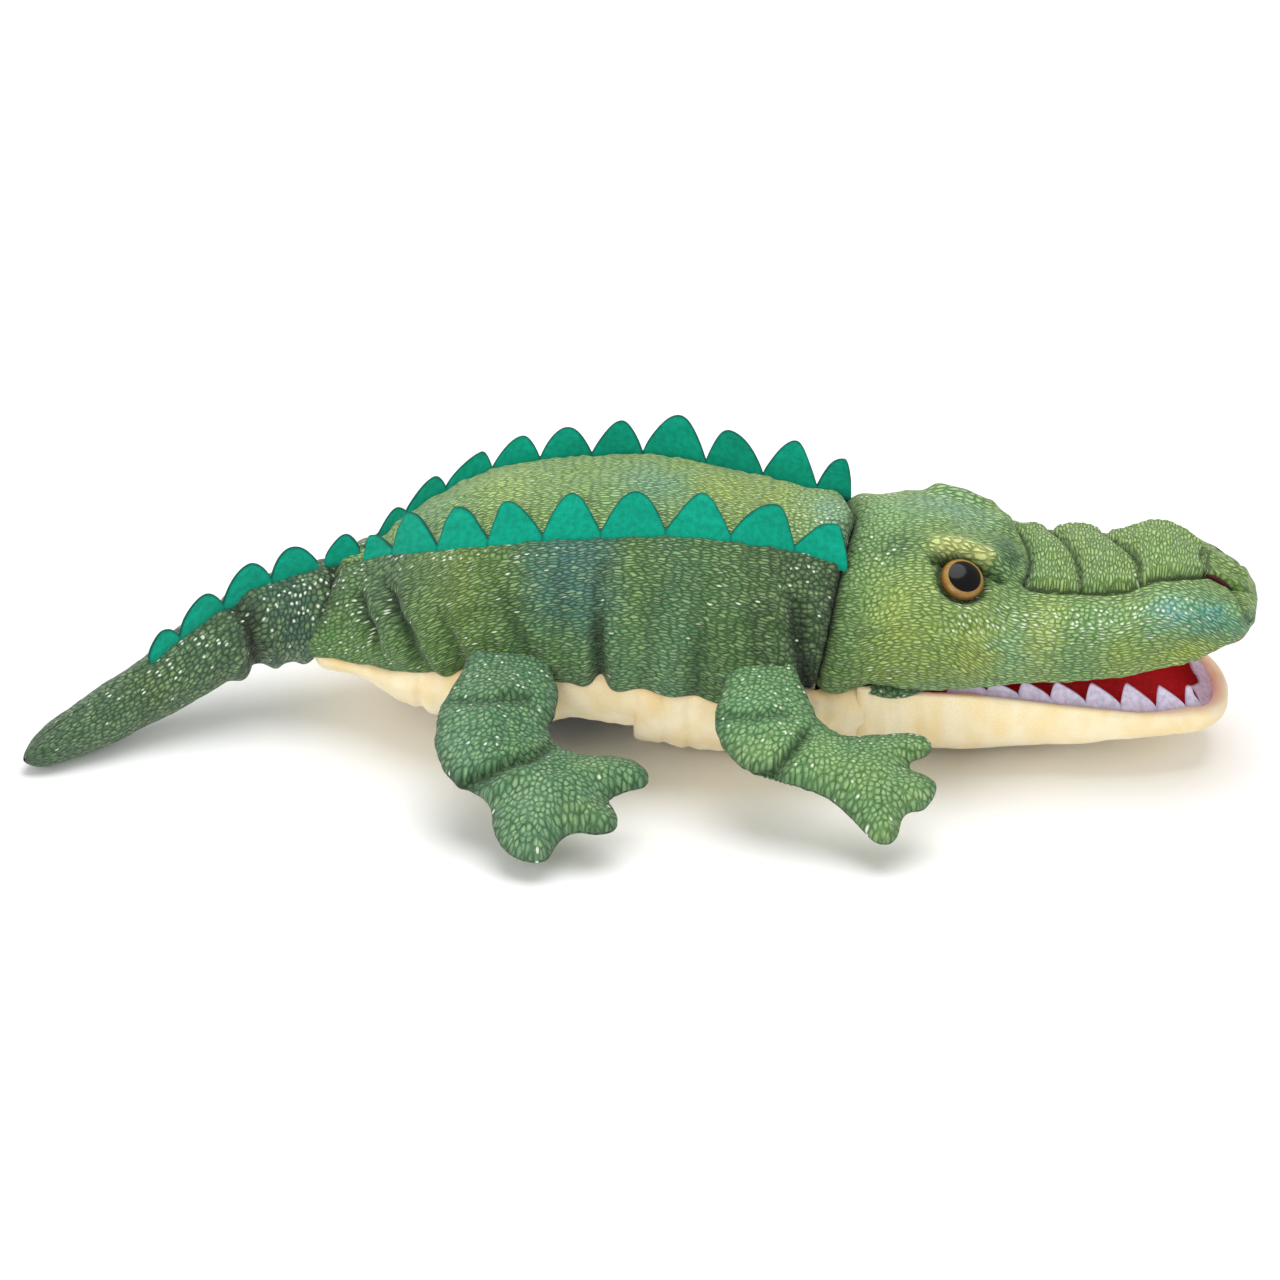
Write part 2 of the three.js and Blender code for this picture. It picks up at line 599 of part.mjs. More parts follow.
function buildJaw() {
  const xs = [118, 134, 150, 170, 190, 208, 222, 233, 240];
  const around = range(-90, 90, 12);
  add("lower_jaw_skin", panel(jawPoint, xs, around, 0, SKIN, { tip: -1 }), cream);
  const boardXs = [119, 134, 150, 170, 190, 208, 222, 232];
  const half = (x) => jawInnerHalf(x) - 3;
  const top = (x) => jaw.rim(x) - 2.6;
  add("lower_palate_board", slab(boardXs, half, (x) => top(x) - BOARD, top), board);
  add("lower_mouth_lining", slab(boardXs, half, (x) => top(x) + GAP, (x) => top(x) + GAP + RED_FELT), red);
  add("tooth_strip", toothStrip(), white);
  const pocketHalf = (x) => (x < 160 ? 16 : 15);
  const high = (x) => top(x) - BOARD - 2 * GAP;
  const low = (x) => jaw.bottom(x) + SKIN + 4.5;
  add("thumb_pocket", pocket([119, 140, 160, 178], pocketHalf, low, high), lining);
}

// ---------------------------------------------------------------- soft skin across the joints
function buildFolds() {
  // The neck: green above the belly seam, cream below it, gathered between the torso and the head.
  const neckXs = [TORSO_FRONT + 0.4, 78, 85, HEAD_REAR - 0.4];
  const around = range(0, 360, 20).slice(0, -1);
  const neckPoint = (x, angle, inset) => torsoPoint(x, angle, inset + 0.5).add(new THREE.Vector3(0, 0, 0.4));
  add("neck_band", panel(neckPoint, neckXs, around, 0, SKIN, { wrap: true }), skin);
  // The throat, from the neck to the corner of the mouth, which folds as the jaw opens.
  const throatPoint = (x, angle, inset) => {
    const p = jawPoint(x, angle, inset + 0.4);
    return p.setZ(Math.max(p.z, 2 + inset));
  };
  add("throat_panel", panel(throatPoint, [HEAD_REAR + 0.2, 105, 117.4], range(-90, 90, 10), 0, SKIN), cream);
}

// ---------------------------------------------------------------- legs
// The outline of a leg with the nearest point of its bones for every point round it.
function legOutline(leg, sign) {
  const flat = ([forward, outward]) => new THREE.Vector3(forward, outward, 0);
  const bones = leg.bones.map(([a, b]) => new THREE.Line3(flat(a), flat(b)));
  const corners = leg.outline.map(flat);
  const around = new THREE.CatmullRomCurve3(corners, true).getPoints(LEG_POINTS).slice(0, -1);
  return around.map((point) => {
    const feet = bones.map((bone) => bone.closestPointToPoint(point, true, new THREE.Vector3()));
    const middle = feet.sort((p, q) => p.distanceTo(point) - q.distanceTo(point))[0];
    for (const p of [point, middle]) p.y *= sign;
    return { point, middle };
  });
}

// Rings of one half of the leg, from the seam up to the flat of the foot, set in by the given distance.
// The leg is thinner where it is sewn to the body.
function legRings(leg, sign, inset, up, start) {
  const levels = [[0, 0], [1.2, 0.62], [3, 1]];
  return levels.map(([narrower, rise]) =>
    legOutline(leg, sign).map(({ point, middle }) => {
      const inwards = middle.clone().sub(point).setLength(narrower + inset);
      const p = point.clone().add(inwards);
      const fullness = THREE.MathUtils.lerp(0.55, 1, THREE.MathUtils.smoothstep(Math.abs(p.y), 0, 24));
      const height = (leg.thickness / 2) * fullness - inset;
      return p.setZ(up * Math.max(rise * height, start));
    }),
  );
}

// Triangles across a ring, turning the same way as the ring does.
function lid(ring) {
  const flat = ring.map((p) => new THREE.Vector2(p.x, p.y));
  const turn = THREE.ShapeUtils.area(flat);
  return THREE.ShapeUtils.triangulateShape(flat, []).map((face) => {
    const same = THREE.ShapeUtils.area(face.map((i) => flat[i])) * turn > 0;
    return same ? face : [...face].reverse();
  });
}

// A solid through rings, with the given triangles across both ends.
function stack(rings, faces) {
  const cols = rings[0].length;
  const last = (rings.length - 1) * cols;
  const triangles = faces.flatMap(([a, b, c]) => [[a, c, b], [a + last, b + last, c + last]]);
  for (let i = 0; i < last; i += cols) {
    for (let j = 0; j < cols; j++) {
      const k = (j + 1) % cols;
      triangles.push([i + j, i + k, i + cols + k], [i + j, i + cols + k, i + cols + j]);
    }
  }
  return closed(rings.flat(), triangles);
}

function buildLeg(name, leg, side, sign) {
  const group = new THREE.Group();
  group.position.set(leg.pivot[0], sign * leg.pivot[1], leg.pivot[2]);
  group.rotation.x = -sign * radians(leg.slope);
  puppet.add(group);
  const half = (inset, up) => legRings(leg, sign, inset, up, GAP / 2);
  const faces = lid(half(0, 1).at(-1));
  const top = [...half(0, 1).reverse(), ...half(SKIN, 1)];
  const sole = [...half(SKIN, -1).reverse(), ...half(0, -1)];
  const filled = SKIN + 0.7;
  const stuffing = [...half(filled, -1).reverse(), ...half(filled, 1)];
  add(`${name}_leg_top_${side}`, stack(top, faces), skin, group);
  add(`${name}_leg_sole_${side}`, stack(sole, faces), skin, group);
  add(`${name}_leg_stuffing_${side}`, stack(stuffing, faces), filling, group);
}

buildTorso();
buildRidges();
buildTail();
buildHead();
buildJaw();
buildFolds();
for (const [side, sign] of [["left", 1], ["right", -1]]) {
  buildLeg("front", FRONT_LEG, side, sign);
  buildLeg("rear", REAR_LEG, side, sign);
}

export default puppet;
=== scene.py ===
import math
import bpy
import numpy as np
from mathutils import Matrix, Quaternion, Vector


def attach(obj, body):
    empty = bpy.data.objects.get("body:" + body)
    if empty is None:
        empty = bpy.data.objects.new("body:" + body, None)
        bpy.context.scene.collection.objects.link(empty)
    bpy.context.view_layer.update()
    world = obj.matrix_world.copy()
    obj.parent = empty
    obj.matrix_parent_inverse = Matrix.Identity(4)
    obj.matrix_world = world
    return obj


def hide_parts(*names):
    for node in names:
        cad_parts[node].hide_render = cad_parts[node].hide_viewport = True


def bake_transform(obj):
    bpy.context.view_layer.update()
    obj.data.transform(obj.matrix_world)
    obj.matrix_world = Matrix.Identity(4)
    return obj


# A plush crocodile hand puppet, lying along x with its nose at +x. Each skin is lofted from stations along x
# in millimetres, and an angle runs round it from the middle of the back, positive to the puppet's right.
# Folds, seams and bumps are added to the loft as heights, and the print is put on its points.
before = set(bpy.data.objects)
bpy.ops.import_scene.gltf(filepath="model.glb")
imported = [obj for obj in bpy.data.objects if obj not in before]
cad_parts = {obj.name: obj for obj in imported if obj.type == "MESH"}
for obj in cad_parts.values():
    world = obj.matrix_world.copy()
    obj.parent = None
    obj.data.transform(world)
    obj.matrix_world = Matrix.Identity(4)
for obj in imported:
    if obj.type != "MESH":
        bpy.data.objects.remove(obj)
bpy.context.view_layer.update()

# ---------------------------------------------------------------- stations, in millimetres
MM = 0.001
# x, centre height, half-width, half-height
TORSO = [
    (-127, 43.5, 26, 24), (-113, 44.5, 32, 28), (-98, 47, 44, 38), (-77, 51.5, 54, 46.5),
    (-57, 55, 60, 50.5), (-16, 57.5, 65, 54), (4, 56, 66, 56), (24, 53.5, 65, 56.5),
    (45, 51.5, 63, 54.5), (65, 51, 58, 51.5), (94, 50.5, 52, 49),
]
# x, angle of the seam from the top of the back
RIDGE_SEAM = [
    (-127, 9), (-113, 10), (-98, 22), (-84, 29), (-62, 32), (-40, 32), (-16, 31), (10, 29),
    (37, 26.5), (62, 27.5), (83, 33),
]
# x, y, z, radius
TAIL = [
    (-130, 0, 43.8, 20), (-145, -3.5, 41.5, 19.2), (-160, -9, 39, 17.8), (-180, -19.5, 30.5, 15.6),
    (-200, -32.5, 20.5, 13.2), (-220, -47, 13.4, 11.3), (-236, -60, 9.4, 8.4), (-250, -72, 6.2, 4),
]
# x, top, half-width, height of the widest point, lip
HEAD = [
    (66, 101.5, 57, 51, 43), (84, 99.5, 53.5, 53, 44.5), (92, 99.3, 51.5, 56, 46), (106, 103, 54, 58, 46),
    (118, 103, 54, 60, 46), (130, 99.5, 52, 62, 46), (140, 94.5, 48.5, 62, 46), (150, 89.5, 45.5, 61, 46),
    (166, 88.5, 42.5, 61, 46), (180, 89, 41.2, 61.5, 47), (194, 89.5, 40, 63, 48.8),
    (206, 93.3, 38.4, 66.5, 51.2),
    (216, 92, 36.8, 69, 53.2), (226, 87.8, 34, 70.5, 55.6), (236, 81.5, 28.5, 70.5, 59),
    (244, 77.5, 23, 69.5, 60.5),
    (249, 73, 11, 68.5, 63.5),
]
# x, rim, bottom, half-width
JAW = [
    (88, 45.5, 2.4, 50.5), (118, 42, 0.8, 47), (134, 40, 1.2, 43.5), (150, 37.3, 2.2, 41),
    (170, 34.3, 4.4, 38.5),
    (190, 31.8, 7.2, 36.5), (208, 29.6, 10.5, 34), (226, 27, 14, 27), (234, 26, 17, 20),
    (241, 24.5, 20.5, 6),
]
# Angles from the middle of the back: the edge of the belly cloth, and the lip of the head.
BELLY = 99.0
LIP = 130.0
# The middle of each eye on the head, its radius and height, and how deep its base is sunk in.
EYE_X, EYE_ANGLE, EYE_R, EYE_H, EYE_SUNK = 128.3, 40.2, 9.2, 6.0, 2.4
# The hand opening: its middle, half-length and half-width.
HAND_X, HAND_LONG, HAND_WIDE = -36.0, 31.0, 34.0
# Mean radii that turn an angle round a body into a distance along its cloth.
SIDE_R, BACK_R, HEAD_R, EYE_AREA_R, TAIL_R = 58, 56, 42, 46, 15
# The lowest that the cloth hangs above the floor.
FLOOR_GAP = 0.4

# Hip, slope of the leg below the horizontal, fullness, print, and seed of the ripples. The knee and root
# creases and the outline are forward and outward distances from the hip.
REAR_LEG = {
    "pivot": (-55, 75, 47.7), "slope": 33, "full": 2.0, "gain": 0.97, "tone": (92, 142, 106), "seed": 161,
    "knee": [(-22, 40), (-4, 38), (14, 30), (24, 16)], "root": [(-26, 2), (-6, 6), (16, 2)],
    "outline": [
        (-14, -23), (0, -24), (14, -23), (22, -8), (22.5, 3), (19.5, 11), (22, 17), (29, 21), (38, 22.5),
        (49, 22.5), (57, 25.5), (61.5, 32), (59, 37.5), (51, 40), (45.5, 42.5), (48, 47.5), (50, 53),
        (47, 58.5), (38, 60), (29, 61.5), (24.5, 66.5), (20.5, 72), (14, 74), (7, 71.5), (1, 66),
        (-2.5, 57.5), (-4, 50), (-9, 45), (-18, 39), (-25, 30.5), (-28, 19), (-27, 6), (-22, -5),
    ],
}
FRONT_LEG = {
    "pivot": (49, 75, 47), "slope": 40.5, "full": 1.85, "gain": 1.08, "tone": (104, 146, 100), "seed": 181,
    "knee": [(-6, 30), (6, 26), (14, 18), (22, 4)], "root": [(-20, 2), (-2, 5), (16, 0)],
    "outline": [
        (-13, -23), (0, -24), (12, -23), (19, -9), (24, 0), (34, 6.5), (47, 5.5), (59, 4), (67, 5.5),
        (71, 10),
        (68, 15.5), (61, 19), (68, 22.5), (73, 27), (73, 33), (69, 38), (62, 40.5), (59.5, 44), (58.5, 50),
        (54.5, 54), (49, 54), (44, 50.5), (38, 44), (28.5, 36.5), (16, 31.5), (4, 28), (-8, 23),
        (-15.5, 15.5), (-19.5, 6), (-19, -5),
    ],
}

# start, point and height of each felt spike; the last row is the end of the strip
SPIKES_RIGHT = [
    (-116, -114, 8), (-103.5, -97.5, 14.2), (-85, -79, 15), (-64.5, -57, 14.8), (-42.5, -33, 16.2),
    (-19, -5, 16), (7, 22, 15.6), (33.5, 50.5, 15.6), (59.5, 77.5, 13.5), (81.5, 81.5, 0),
]
SPIKES_LEFT = [
    (-112, -105, 5.5), (-99.5, -89, 7), (-84, -71, 8.4), (-65.5, -53, 10), (-46, -36, 12),
    (-25, -12.5, 13.6),
    (-4, 9, 16.5), (22, 32.5, 15.5), (45.5, 58, 16.5), (68, 79.5, 13.5), (82.5, 82.5, 0),
]
SPIKES_RUMP = [(-132, -124, 9), (-117, -117, 0)]
SPIKES_TAIL = [(-201, -195, 8), (-189, -179, 10), (-172, -161, 10.5), (-153, -143.5, 11), (-133.5, -133.5, 0)]


# ---------------------------------------------------------------- numbers
# A smooth curve through one column of a table, over its first column.
def hermite(table, column):
    rows = np.array(sorted(table), float)
    xs, ys = rows[:, 0], rows[:, column]
    slopes = np.empty_like(ys)
    slopes[1:-1] = (ys[2:] - ys[:-2]) / (xs[2:] - xs[:-2])
    slopes[0] = (ys[1] - ys[0]) / (xs[1] - xs[0])
    slopes[-1] = (ys[-1] - ys[-2]) / (xs[-1] - xs[-2])

    def value(x):
        x = np.clip(x, xs[0], xs[-1])
        i = np.clip(np.searchsorted(xs, x) - 1, 0, len(xs) - 2)
        h = xs[i + 1] - xs[i]
        t = (x - xs[i]) / h
        s = 1 - t
        start = ys[i] * (1 + 2 * t) * s * s + slopes[i] * h * t * s * s
        return start + ys[i + 1] * (3 - 2 * t) * t * t - slopes[i + 1] * h * t * t * s

    return value


def smooth(low, high, x):
    t = np.clip((x - low) / (high - low), 0, 1)
    return t * t * (3 - 2 * t)


def fade(distance, length):
    return np.exp(-distance / length)


def bell(x, centre, width):
    return np.exp(-(((x - centre) / width) ** 2))


# Soft seeded ripples, about -1 to 1, over two coordinates.
def waves(seed, p, q, size, terms=6):
    rng = np.random.default_rng(seed)
    total = 0
    for _ in range(terms):
        turn, phase = rng.uniform(0, math.tau, 2)
        k = math.tau / (size * rng.uniform(0.7, 1.5))
        total = total + np.sin((p * math.cos(turn) + q * math.sin(turn)) * k + phase)
    return total / math.sqrt(2 * terms)


# The same along one coordinate.
def ripples(seed, p, size, terms=6):
    return waves(seed, p, 0 * p, size, terms)


# How far a cloth edge turns in at a distance from it.
def turned(distance, width, depth):
    t = 1 - np.clip(distance / width, 0, 1)
    return depth * (1 - np.sqrt(1 - np.minimum(t, 0.999) ** 2))


# 1 on a path through two coordinates, falling to 0 beside it and tapering to its ends.
def stroke(p, q, path, width, taper=0.0):
    best = np.full(np.shape(p), 1e9)
    where = np.zeros(np.shape(p))
    lengths = [math.dist(a, b) for a, b in zip(path, path[1:])]
    total = sum(lengths)
    done = 0.0
    for (a, b), length in zip(zip(path, path[1:]), lengths):
        dp, dq = (b[0] - a[0]) / length, (b[1] - a[1]) / length
        t = np.clip((p - a[0]) * dp + (q - a[1]) * dq, 0, length)
        distance = np.hypot(p - a[0] - dp * t, q - a[1] - dq * t)
        nearer = distance < best
        best = np.where(nearer, distance, best)
        where = np.where(nearer, (done + t) / total, where)
        done += length
    ends = 1.0 if not taper else smooth(0, taper, where) * smooth(0, taper, 1 - where)
    return np.exp(-((best / width) ** 2)) * ends


def lattice(rows, columns):
    return np.meshgrid(rows, columns, indexing="ij")


def linear(rgb):
    c = np.asarray(rgb, float) / 255
    return np.where(c <= 0.04045, c / 12.92, ((c + 0.055) / 1.055) ** 2.4)


# ---------------------------------------------------------------- surfaces
torso_z, torso_a, torso_b = (hermite(TORSO, i) for i in (1, 2, 3))
tail_y, tail_z, tail_r = (hermite(TAIL, i) for i in (1, 2, 3))
head_top, head_a, head_wide, head_lip = (hermite(HEAD, i) for i in (1, 2, 3, 4))
jaw_rim, jaw_bottom, jaw_a = (hermite(JAW, i) for i in (1, 2, 3))
ridge_seam = hermite(RIDGE_SEAM, 1)


def torso_point(x, angle, inset=0.0):
    t = np.radians(angle)
    y = -np.sin(t) * (torso_a(x) - inset)
    z = torso_z(x) + np.cos(t) * (torso_b(x) - inset)
    return np.stack([x + 0 * z, y, np.maximum(z, 0.3 + inset)], -1)


def torso_surface(x, angle, inset=0.0):
    base = torso_point(x, angle, inset)
    return base, normals(base, base - np.stack([x, 0 * x, torso_z(x)], -1))


def head_point(x, angle):
    side, turn = -np.sign(angle), np.abs(angle)
    a, top, wide, lip = head_a(x), head_top(x), head_wide(x), head_lip(x)
    t = np.radians(np.minimum(turn, 90))
    k = np.maximum(turn - 90, 0) / (LIP - 90)
    y = side * a * np.where(turn <= 90, np.sin(t), 1 - 0.08 * k * k)
    z = np.where(turn <= 90, wide + np.cos(t) * (top - wide), wide + (lip - wide) * k)
    return np.stack([x + 0 * z, y, z], -1)


def tail_point(x, angle, inset=0.0):
    t = np.radians(angle)
    r = np.maximum(tail_r(x) - inset, 0.5)
    heading = np.arctan2(tail_y(x + 1) - tail_y(x - 1), 2)
    sideways = -np.sin(t) * r
    return np.stack([x - np.sin(heading) * sideways, tail_y(x) + np.cos(heading) * sideways,
                     tail_z(x) + np.cos(t) * r], -1)


def unit(vectors):
    return vectors / np.maximum(np.linalg.norm(vectors, axis=-1, keepdims=True), 1e-9)


def normals(points, outward):
    n = unit(np.cross(np.gradient(points, axis=0), np.gradient(points, axis=1)))
    return n * np.where(np.sum(n * outward, -1, keepdims=True) < 0, -1, 1)


# Distance to each point of a line from its start.
def run_along(line):
    return np.concatenate([[0], np.cumsum(np.linalg.norm(np.diff(line, axis=0), axis=1))])


# Distance round a body for an angle in degrees.
def arc_length(degrees, radius):
    return degrees * math.pi / 180 * radius


# Distance along the cloth, round each row from its middle.
def around(points):
    steps = np.linalg.norm(np.diff(points, axis=1), axis=-1)
    total = np.concatenate([np.zeros((len(points), 1)), np.cumsum(steps, 1)], 1)
    return total - total[:, [points.shape[1] // 2]]


# ---------------------------------------------------------------- meshes
# Stores values at the points of a mesh for its material: single, three-part or colour.
def put_attributes(mesh, attributes):
    kinds = {1: ("FLOAT", "value"), 3: ("FLOAT_VECTOR", "vector"), 4: ("FLOAT_COLOR", "color")}
    for name, values in attributes.items():
        values = np.asarray(values, np.float32).reshape(len(mesh.vertices), -1)
        kind, field = kinds[values.shape[1]]
        mesh.attributes.new(name, kind, "POINT").data.foreach_set(field, values.ravel())


def values_of(data, field, size):
    values = np.empty(len(data) * size, np.float32)
    data.foreach_get(field, values)
    return values.reshape(-1, size)


def new_object(name, mesh, material):
    obj = bpy.data.objects.new(name, mesh)
    bpy.context.scene.collection.objects.link(obj)
    mesh.materials.append(material)
    return obj


# A mesh over rows and columns of points, closed across its columns if it wraps.
def grid(name, points, material, wrap=False, **attributes):
    rows, cols = points.shape[:2]
    index = np.arange(rows * cols).reshape(rows, cols)
    if wrap:
        index = np.hstack([index, index[:, :1]])
    quads = np.stack([index[:-1, :-1], index[:-1, 1:], index[1:, 1:], index[1:, :-1]], -1).reshape(-1, 4)
    mesh = bpy.data.meshes.new(name)
    mesh.vertices.add(rows * cols)
    mesh.vertices.foreach_set("co", (points * MM).astype(np.float32).ravel())
    mesh.loops.add(quads.size)
    mesh.loops.foreach_set("vertex_index", quads.ravel().astype(np.int32))
    mesh.polygons.add(len(quads))
    mesh.polygons.foreach_set("loop_start", np.arange(0, quads.size, 4, dtype=np.int32))
    mesh.polygons.foreach_set("use_smooth", np.ones(len(quads), bool))
    mesh.update(calc_edges=True)
    put_attributes(mesh, attributes)
    return new_object(name, mesh, material)


# Takes the steps across and down between a piece's points, and does nothing more with them.
def declare_sheet(obj, points):
    across, down = np.diff(points, axis=1), np.diff(points, axis=0)


def cloth_coordinates(length, width):
    return np.stack([length * MM, width * MM, 0 * length], -1)


# A print colour, made stronger by the given share and brighter by the gain.
def dyed(rgb, share=1.3, gain=1.0):
    grey = np.mean(rgb, -1, keepdims=True)
    return (grey + (rgb - grey) * share) * gain


def colour(rgb):
    values = linear(np.clip(rgb, 0, 255))
    return np.concatenate([values, np.ones(values.shape[:-1] + (1,))], -1)


# Patches of print and painted shade over a base colour: centre, size, colour and strength in two coordinates.
def printed(base, p, q, patches):
    p = p + 2.5 * waves(71, p, q, 16)
    q = q + 3.5 * waves(72, p, q, 18)
    result = np.broadcast_to(np.asarray(base, float), p.shape + (3,)).copy()
    for middle_p, middle_q, size_p, size_q, rgb, strength in patches:
        weight = (strength * bell(p, middle_p, size_p) * bell(q, middle_q, size_q))[..., None]
        result = result * (1 - weight) + np.asarray(rgb, float) * weight
    return result


# ---------------------------------------------------------------- materials
class Nodes:
    def __init__(self, name):
        self.material = bpy.data.materials.new(name)
        self.material.use_nodes = True
        self.tree = self.material.node_tree
        self.shader = self.tree.nodes["Principled BSDF"]

    def add(self, kind, inputs=None, **settings):
        node = self.tree.nodes.new(kind)
        for key, value in settings.items():
            setattr(node, key, value)
        for key, value in (inputs or {}).items():
            self.join(value, node.inputs[key])
        return node

    def join(self, value, socket):
        if isinstance(value, bpy.types.NodeSocket):
            self.tree.links.new(value, socket)
        else:
            socket.default_value = value

    def attribute(self, name, output="Fac"):
        return self.add("ShaderNodeAttribute", attribute_name=name).outputs[output]

    def math(self, operation, *values, clamp=False):
        node = self.add("ShaderNodeMath", operation=operation, use_clamp=clamp)
        for i, value in enumerate(values):
            self.join(value, node.inputs[i])
        return node.outputs[0]

    def span(self, value, low, high, to_low=0.0, to_high=1.0):
        inputs = {"Value": value, "From Min": low, "From Max": high, "To Min": to_low, "To Max": to_high}
        return self.add("ShaderNodeMapRange", inputs, interpolation_type="SMOOTHSTEP").outputs[0]

    def mix(self, factor, a, b, blend="MIX"):
        node = self.add("ShaderNodeMix", data_type="RGBA", blend_type=blend)
        for key, value in ((0, factor), (6, a), (7, b)):
            self.join(value, node.inputs[key])
        return node.outputs[2]

    def blend(self, factor, a, b):
        node = self.add("ShaderNodeMix", data_type="FLOAT")
        for key, value in ((0, factor), (2, a), (3, b)):
            self.join(value, node.inputs[key])
        return node.outputs[0]

    def scaled(self, vector, scale):
        return self.add("ShaderNodeVectorMath", {0: vector, 1: scale}, operation="MULTIPLY").outputs[0]

    def noise(self, vector, scale, detail):
        inputs = {"Vector": self.scaled(vector, scale), "Scale": 1.0, "Detail": detail}
        return self.add("ShaderNodeTexNoise", inputs)

    def tinted(self, factor, paint, rgb):
        return self.mix(factor, paint, self.mix(1.0, paint, rgba(rgb), "MULTIPLY"))

    def finish(self, bump=None, depth=0.0005, strength=1.0, **inputs):
        for key, value in inputs.items():
            self.join(value, self.shader.inputs[key.replace("_", " ")])
        if bump is not None:
            node = self.add("ShaderNodeBump", {"Height": bump, "Distance": depth, "Strength": strength})
            self.tree.links.new(node.outputs[0], self.shader.inputs["Normal"])
        return self.material


def rgba(rgb):
    return (*(float(v) for v in linear(rgb)), 1.0)


# Printed velour embossed with scales. The mesh carries where each point lies on the cloth, how drawn out its
# scales are, its print and how much foil it has.
def scale_plush():
    n = Nodes("printed scale velour")
    cloth = n.attribute("cloth", "Vector")
    drift = n.noise(cloth, (240, 240, 240), 3.0)
    offset = n.scaled(drift.outputs["Color"], (0.0016, 0.0012, 0))
    place = n.add("ShaderNodeVectorMath", {0: cloth, 1: offset}, operation="ADD").outputs[0]

    def cells(size, randomness):
        vector = n.scaled(place, (1000 / size[0], 1000 / size[1], 1))
        shared = {"Vector": vector, "Scale": 1.0, "Randomness": randomness}
        near = n.add("ShaderNodeTexVoronoi", shared, voronoi_dimensions="2D", feature="F1")
        edge = n.add("ShaderNodeTexVoronoi", shared, voronoi_dimensions="2D", feature="DISTANCE_TO_EDGE")
        return near.outputs["Distance"], near.outputs["Color"], edge.outputs["Distance"]

    pebble = cells((2.3, 1.9), 0.9)
    streak = cells((3.9, 1.25), 0.95)
    choose = n.span(n.attribute("stretch"), 0.35, 0.65)
    near = n.blend(choose, pebble[0], streak[0])
    edge = n.blend(choose, pebble[2], streak[2])
    chance = n.add("ShaderNodeSeparateColor", {"Color": n.mix(choose, pebble[1], streak[1])})
    fine = n.noise(cloth, (1500, 3400, 1), 4.0)
    mottle = n.noise(cloth, (210, 330, 1), 4.0)
    outline = n.span(edge, 0.0, n.blend(choose, 0.24, 0.3))
    oval = n.span(near, 0.62, 0.22)
    body = n.blend(n.blend(choose, 0.6, 0.0), outline, oval)

    tone = n.attribute("tone", "Color")
    gap = n.mix(1.0, tone, rgba((132, 160, 128)), "MULTIPLY")
    gap = n.mix(n.span(mottle.outputs["Fac"], 0.38, 0.62), gap, n.mix(0.45, gap, tone))
    bright = n.mix(n.span(chance.outputs[1], 0.2, 1.0, 0.05, 0.34), tone, rgba((196, 226, 158)))
    paint = n.mix(body, gap, bright)
    streaks = n.span(fine.outputs["Fac"], 0.42, 0.62, 0.0, 0.4)
    paint = n.tinted(streaks, paint, (168, 188, 160))
    blotch = n.span(mottle.outputs["Fac"], 0.4, 0.7, 0.0, 0.35)
    paint = n.tinted(blotch, paint, (170, 190, 170))
    paint = n.tinted(n.attribute("shade"), paint, (102, 130, 98))
    # Foil: some scales carry a bright speck.
    some = n.math("GREATER_THAN", chance.outputs[0], n.math("SUBTRACT", 1.0, n.attribute("foil")))
    speck = n.math("MULTIPLY", some, n.span(near, 0.36, 0.16, 0.0, 0.85))
    paint = n.mix(speck, paint, rgba((226, 236, 214)))
    height = n.math("ADD", body, n.math("MULTIPLY", fine.outputs["Fac"], 0.35))
    rough = n.blend(speck, 0.55, 0.3)
    return n.finish(height, 0.0009, 0.9, Base_Color=paint, Roughness=rough, Sheen_Weight=0.15,
                    Sheen_Roughness=0.45, Specular_IOR_Level=0.4)


def velour(name, rgb, shadow, depth=0.0003):
    n = Nodes(name)
    cloth = n.attribute("cloth", "Vector")
    pile = n.noise(cloth, (1500, 1500, 1500), 4.0)
    nap = n.noise(cloth, (70, 45, 70), 3.0)
    paint = n.mix(n.span(nap.outputs["Fac"], 0.35, 0.7), rgba(rgb), rgba(shadow))
    paint = n.mix(n.span(pile.outputs["Fac"], 0.3, 0.75, 0.0, 0.16), paint, rgba([v * 0.72 for v in shadow]))
    paint = n.tinted(n.attribute("shade"), paint, (214, 176, 120))
    return n.finish(pile.outputs["Fac"], depth, 0.5, Base_Color=paint, Roughness=0.85, Sheen_Weight=0.35,
                    Sheen_Roughness=0.5, Specular_IOR_Level=0.2)


def felt(name, rgb, edge_rgb, mottling=0.22):
    n = Nodes(name)
    cloth = n.attribute("cloth", "Vector")
    fibres = n.noise(cloth, (1900, 1900, 1900), 6.0)
    clumps = n.noise(cloth, (420, 420, 420), 5.0)
    dark = rgba([v * 0.72 for v in rgb])
    paint = n.mix(n.span(clumps.outputs["Fac"], 0.35, 0.68, 0.0, 0.5), rgba(rgb), dark)
    light = rgba([min(255, v * 1.2 + 14) for v in rgb])
    paint = n.mix(n.span(fibres.outputs["Fac"], 0.4, 0.72, 0.0, mottling), paint, light)
    # Painted shade: where the edge attribute is set, the felt is darkened towards edge_rgb.
    paint = n.mix(n.attribute("edge"), paint, rgba(edge_rgb))
    return n.finish(fibres.outputs["Fac"], 0.00025, 0.6, Base_Color=paint, Roughness=0.95, Sheen_Weight=0.1,
                    Sheen_Roughness=0.6, Specular_IOR_Level=0.08)


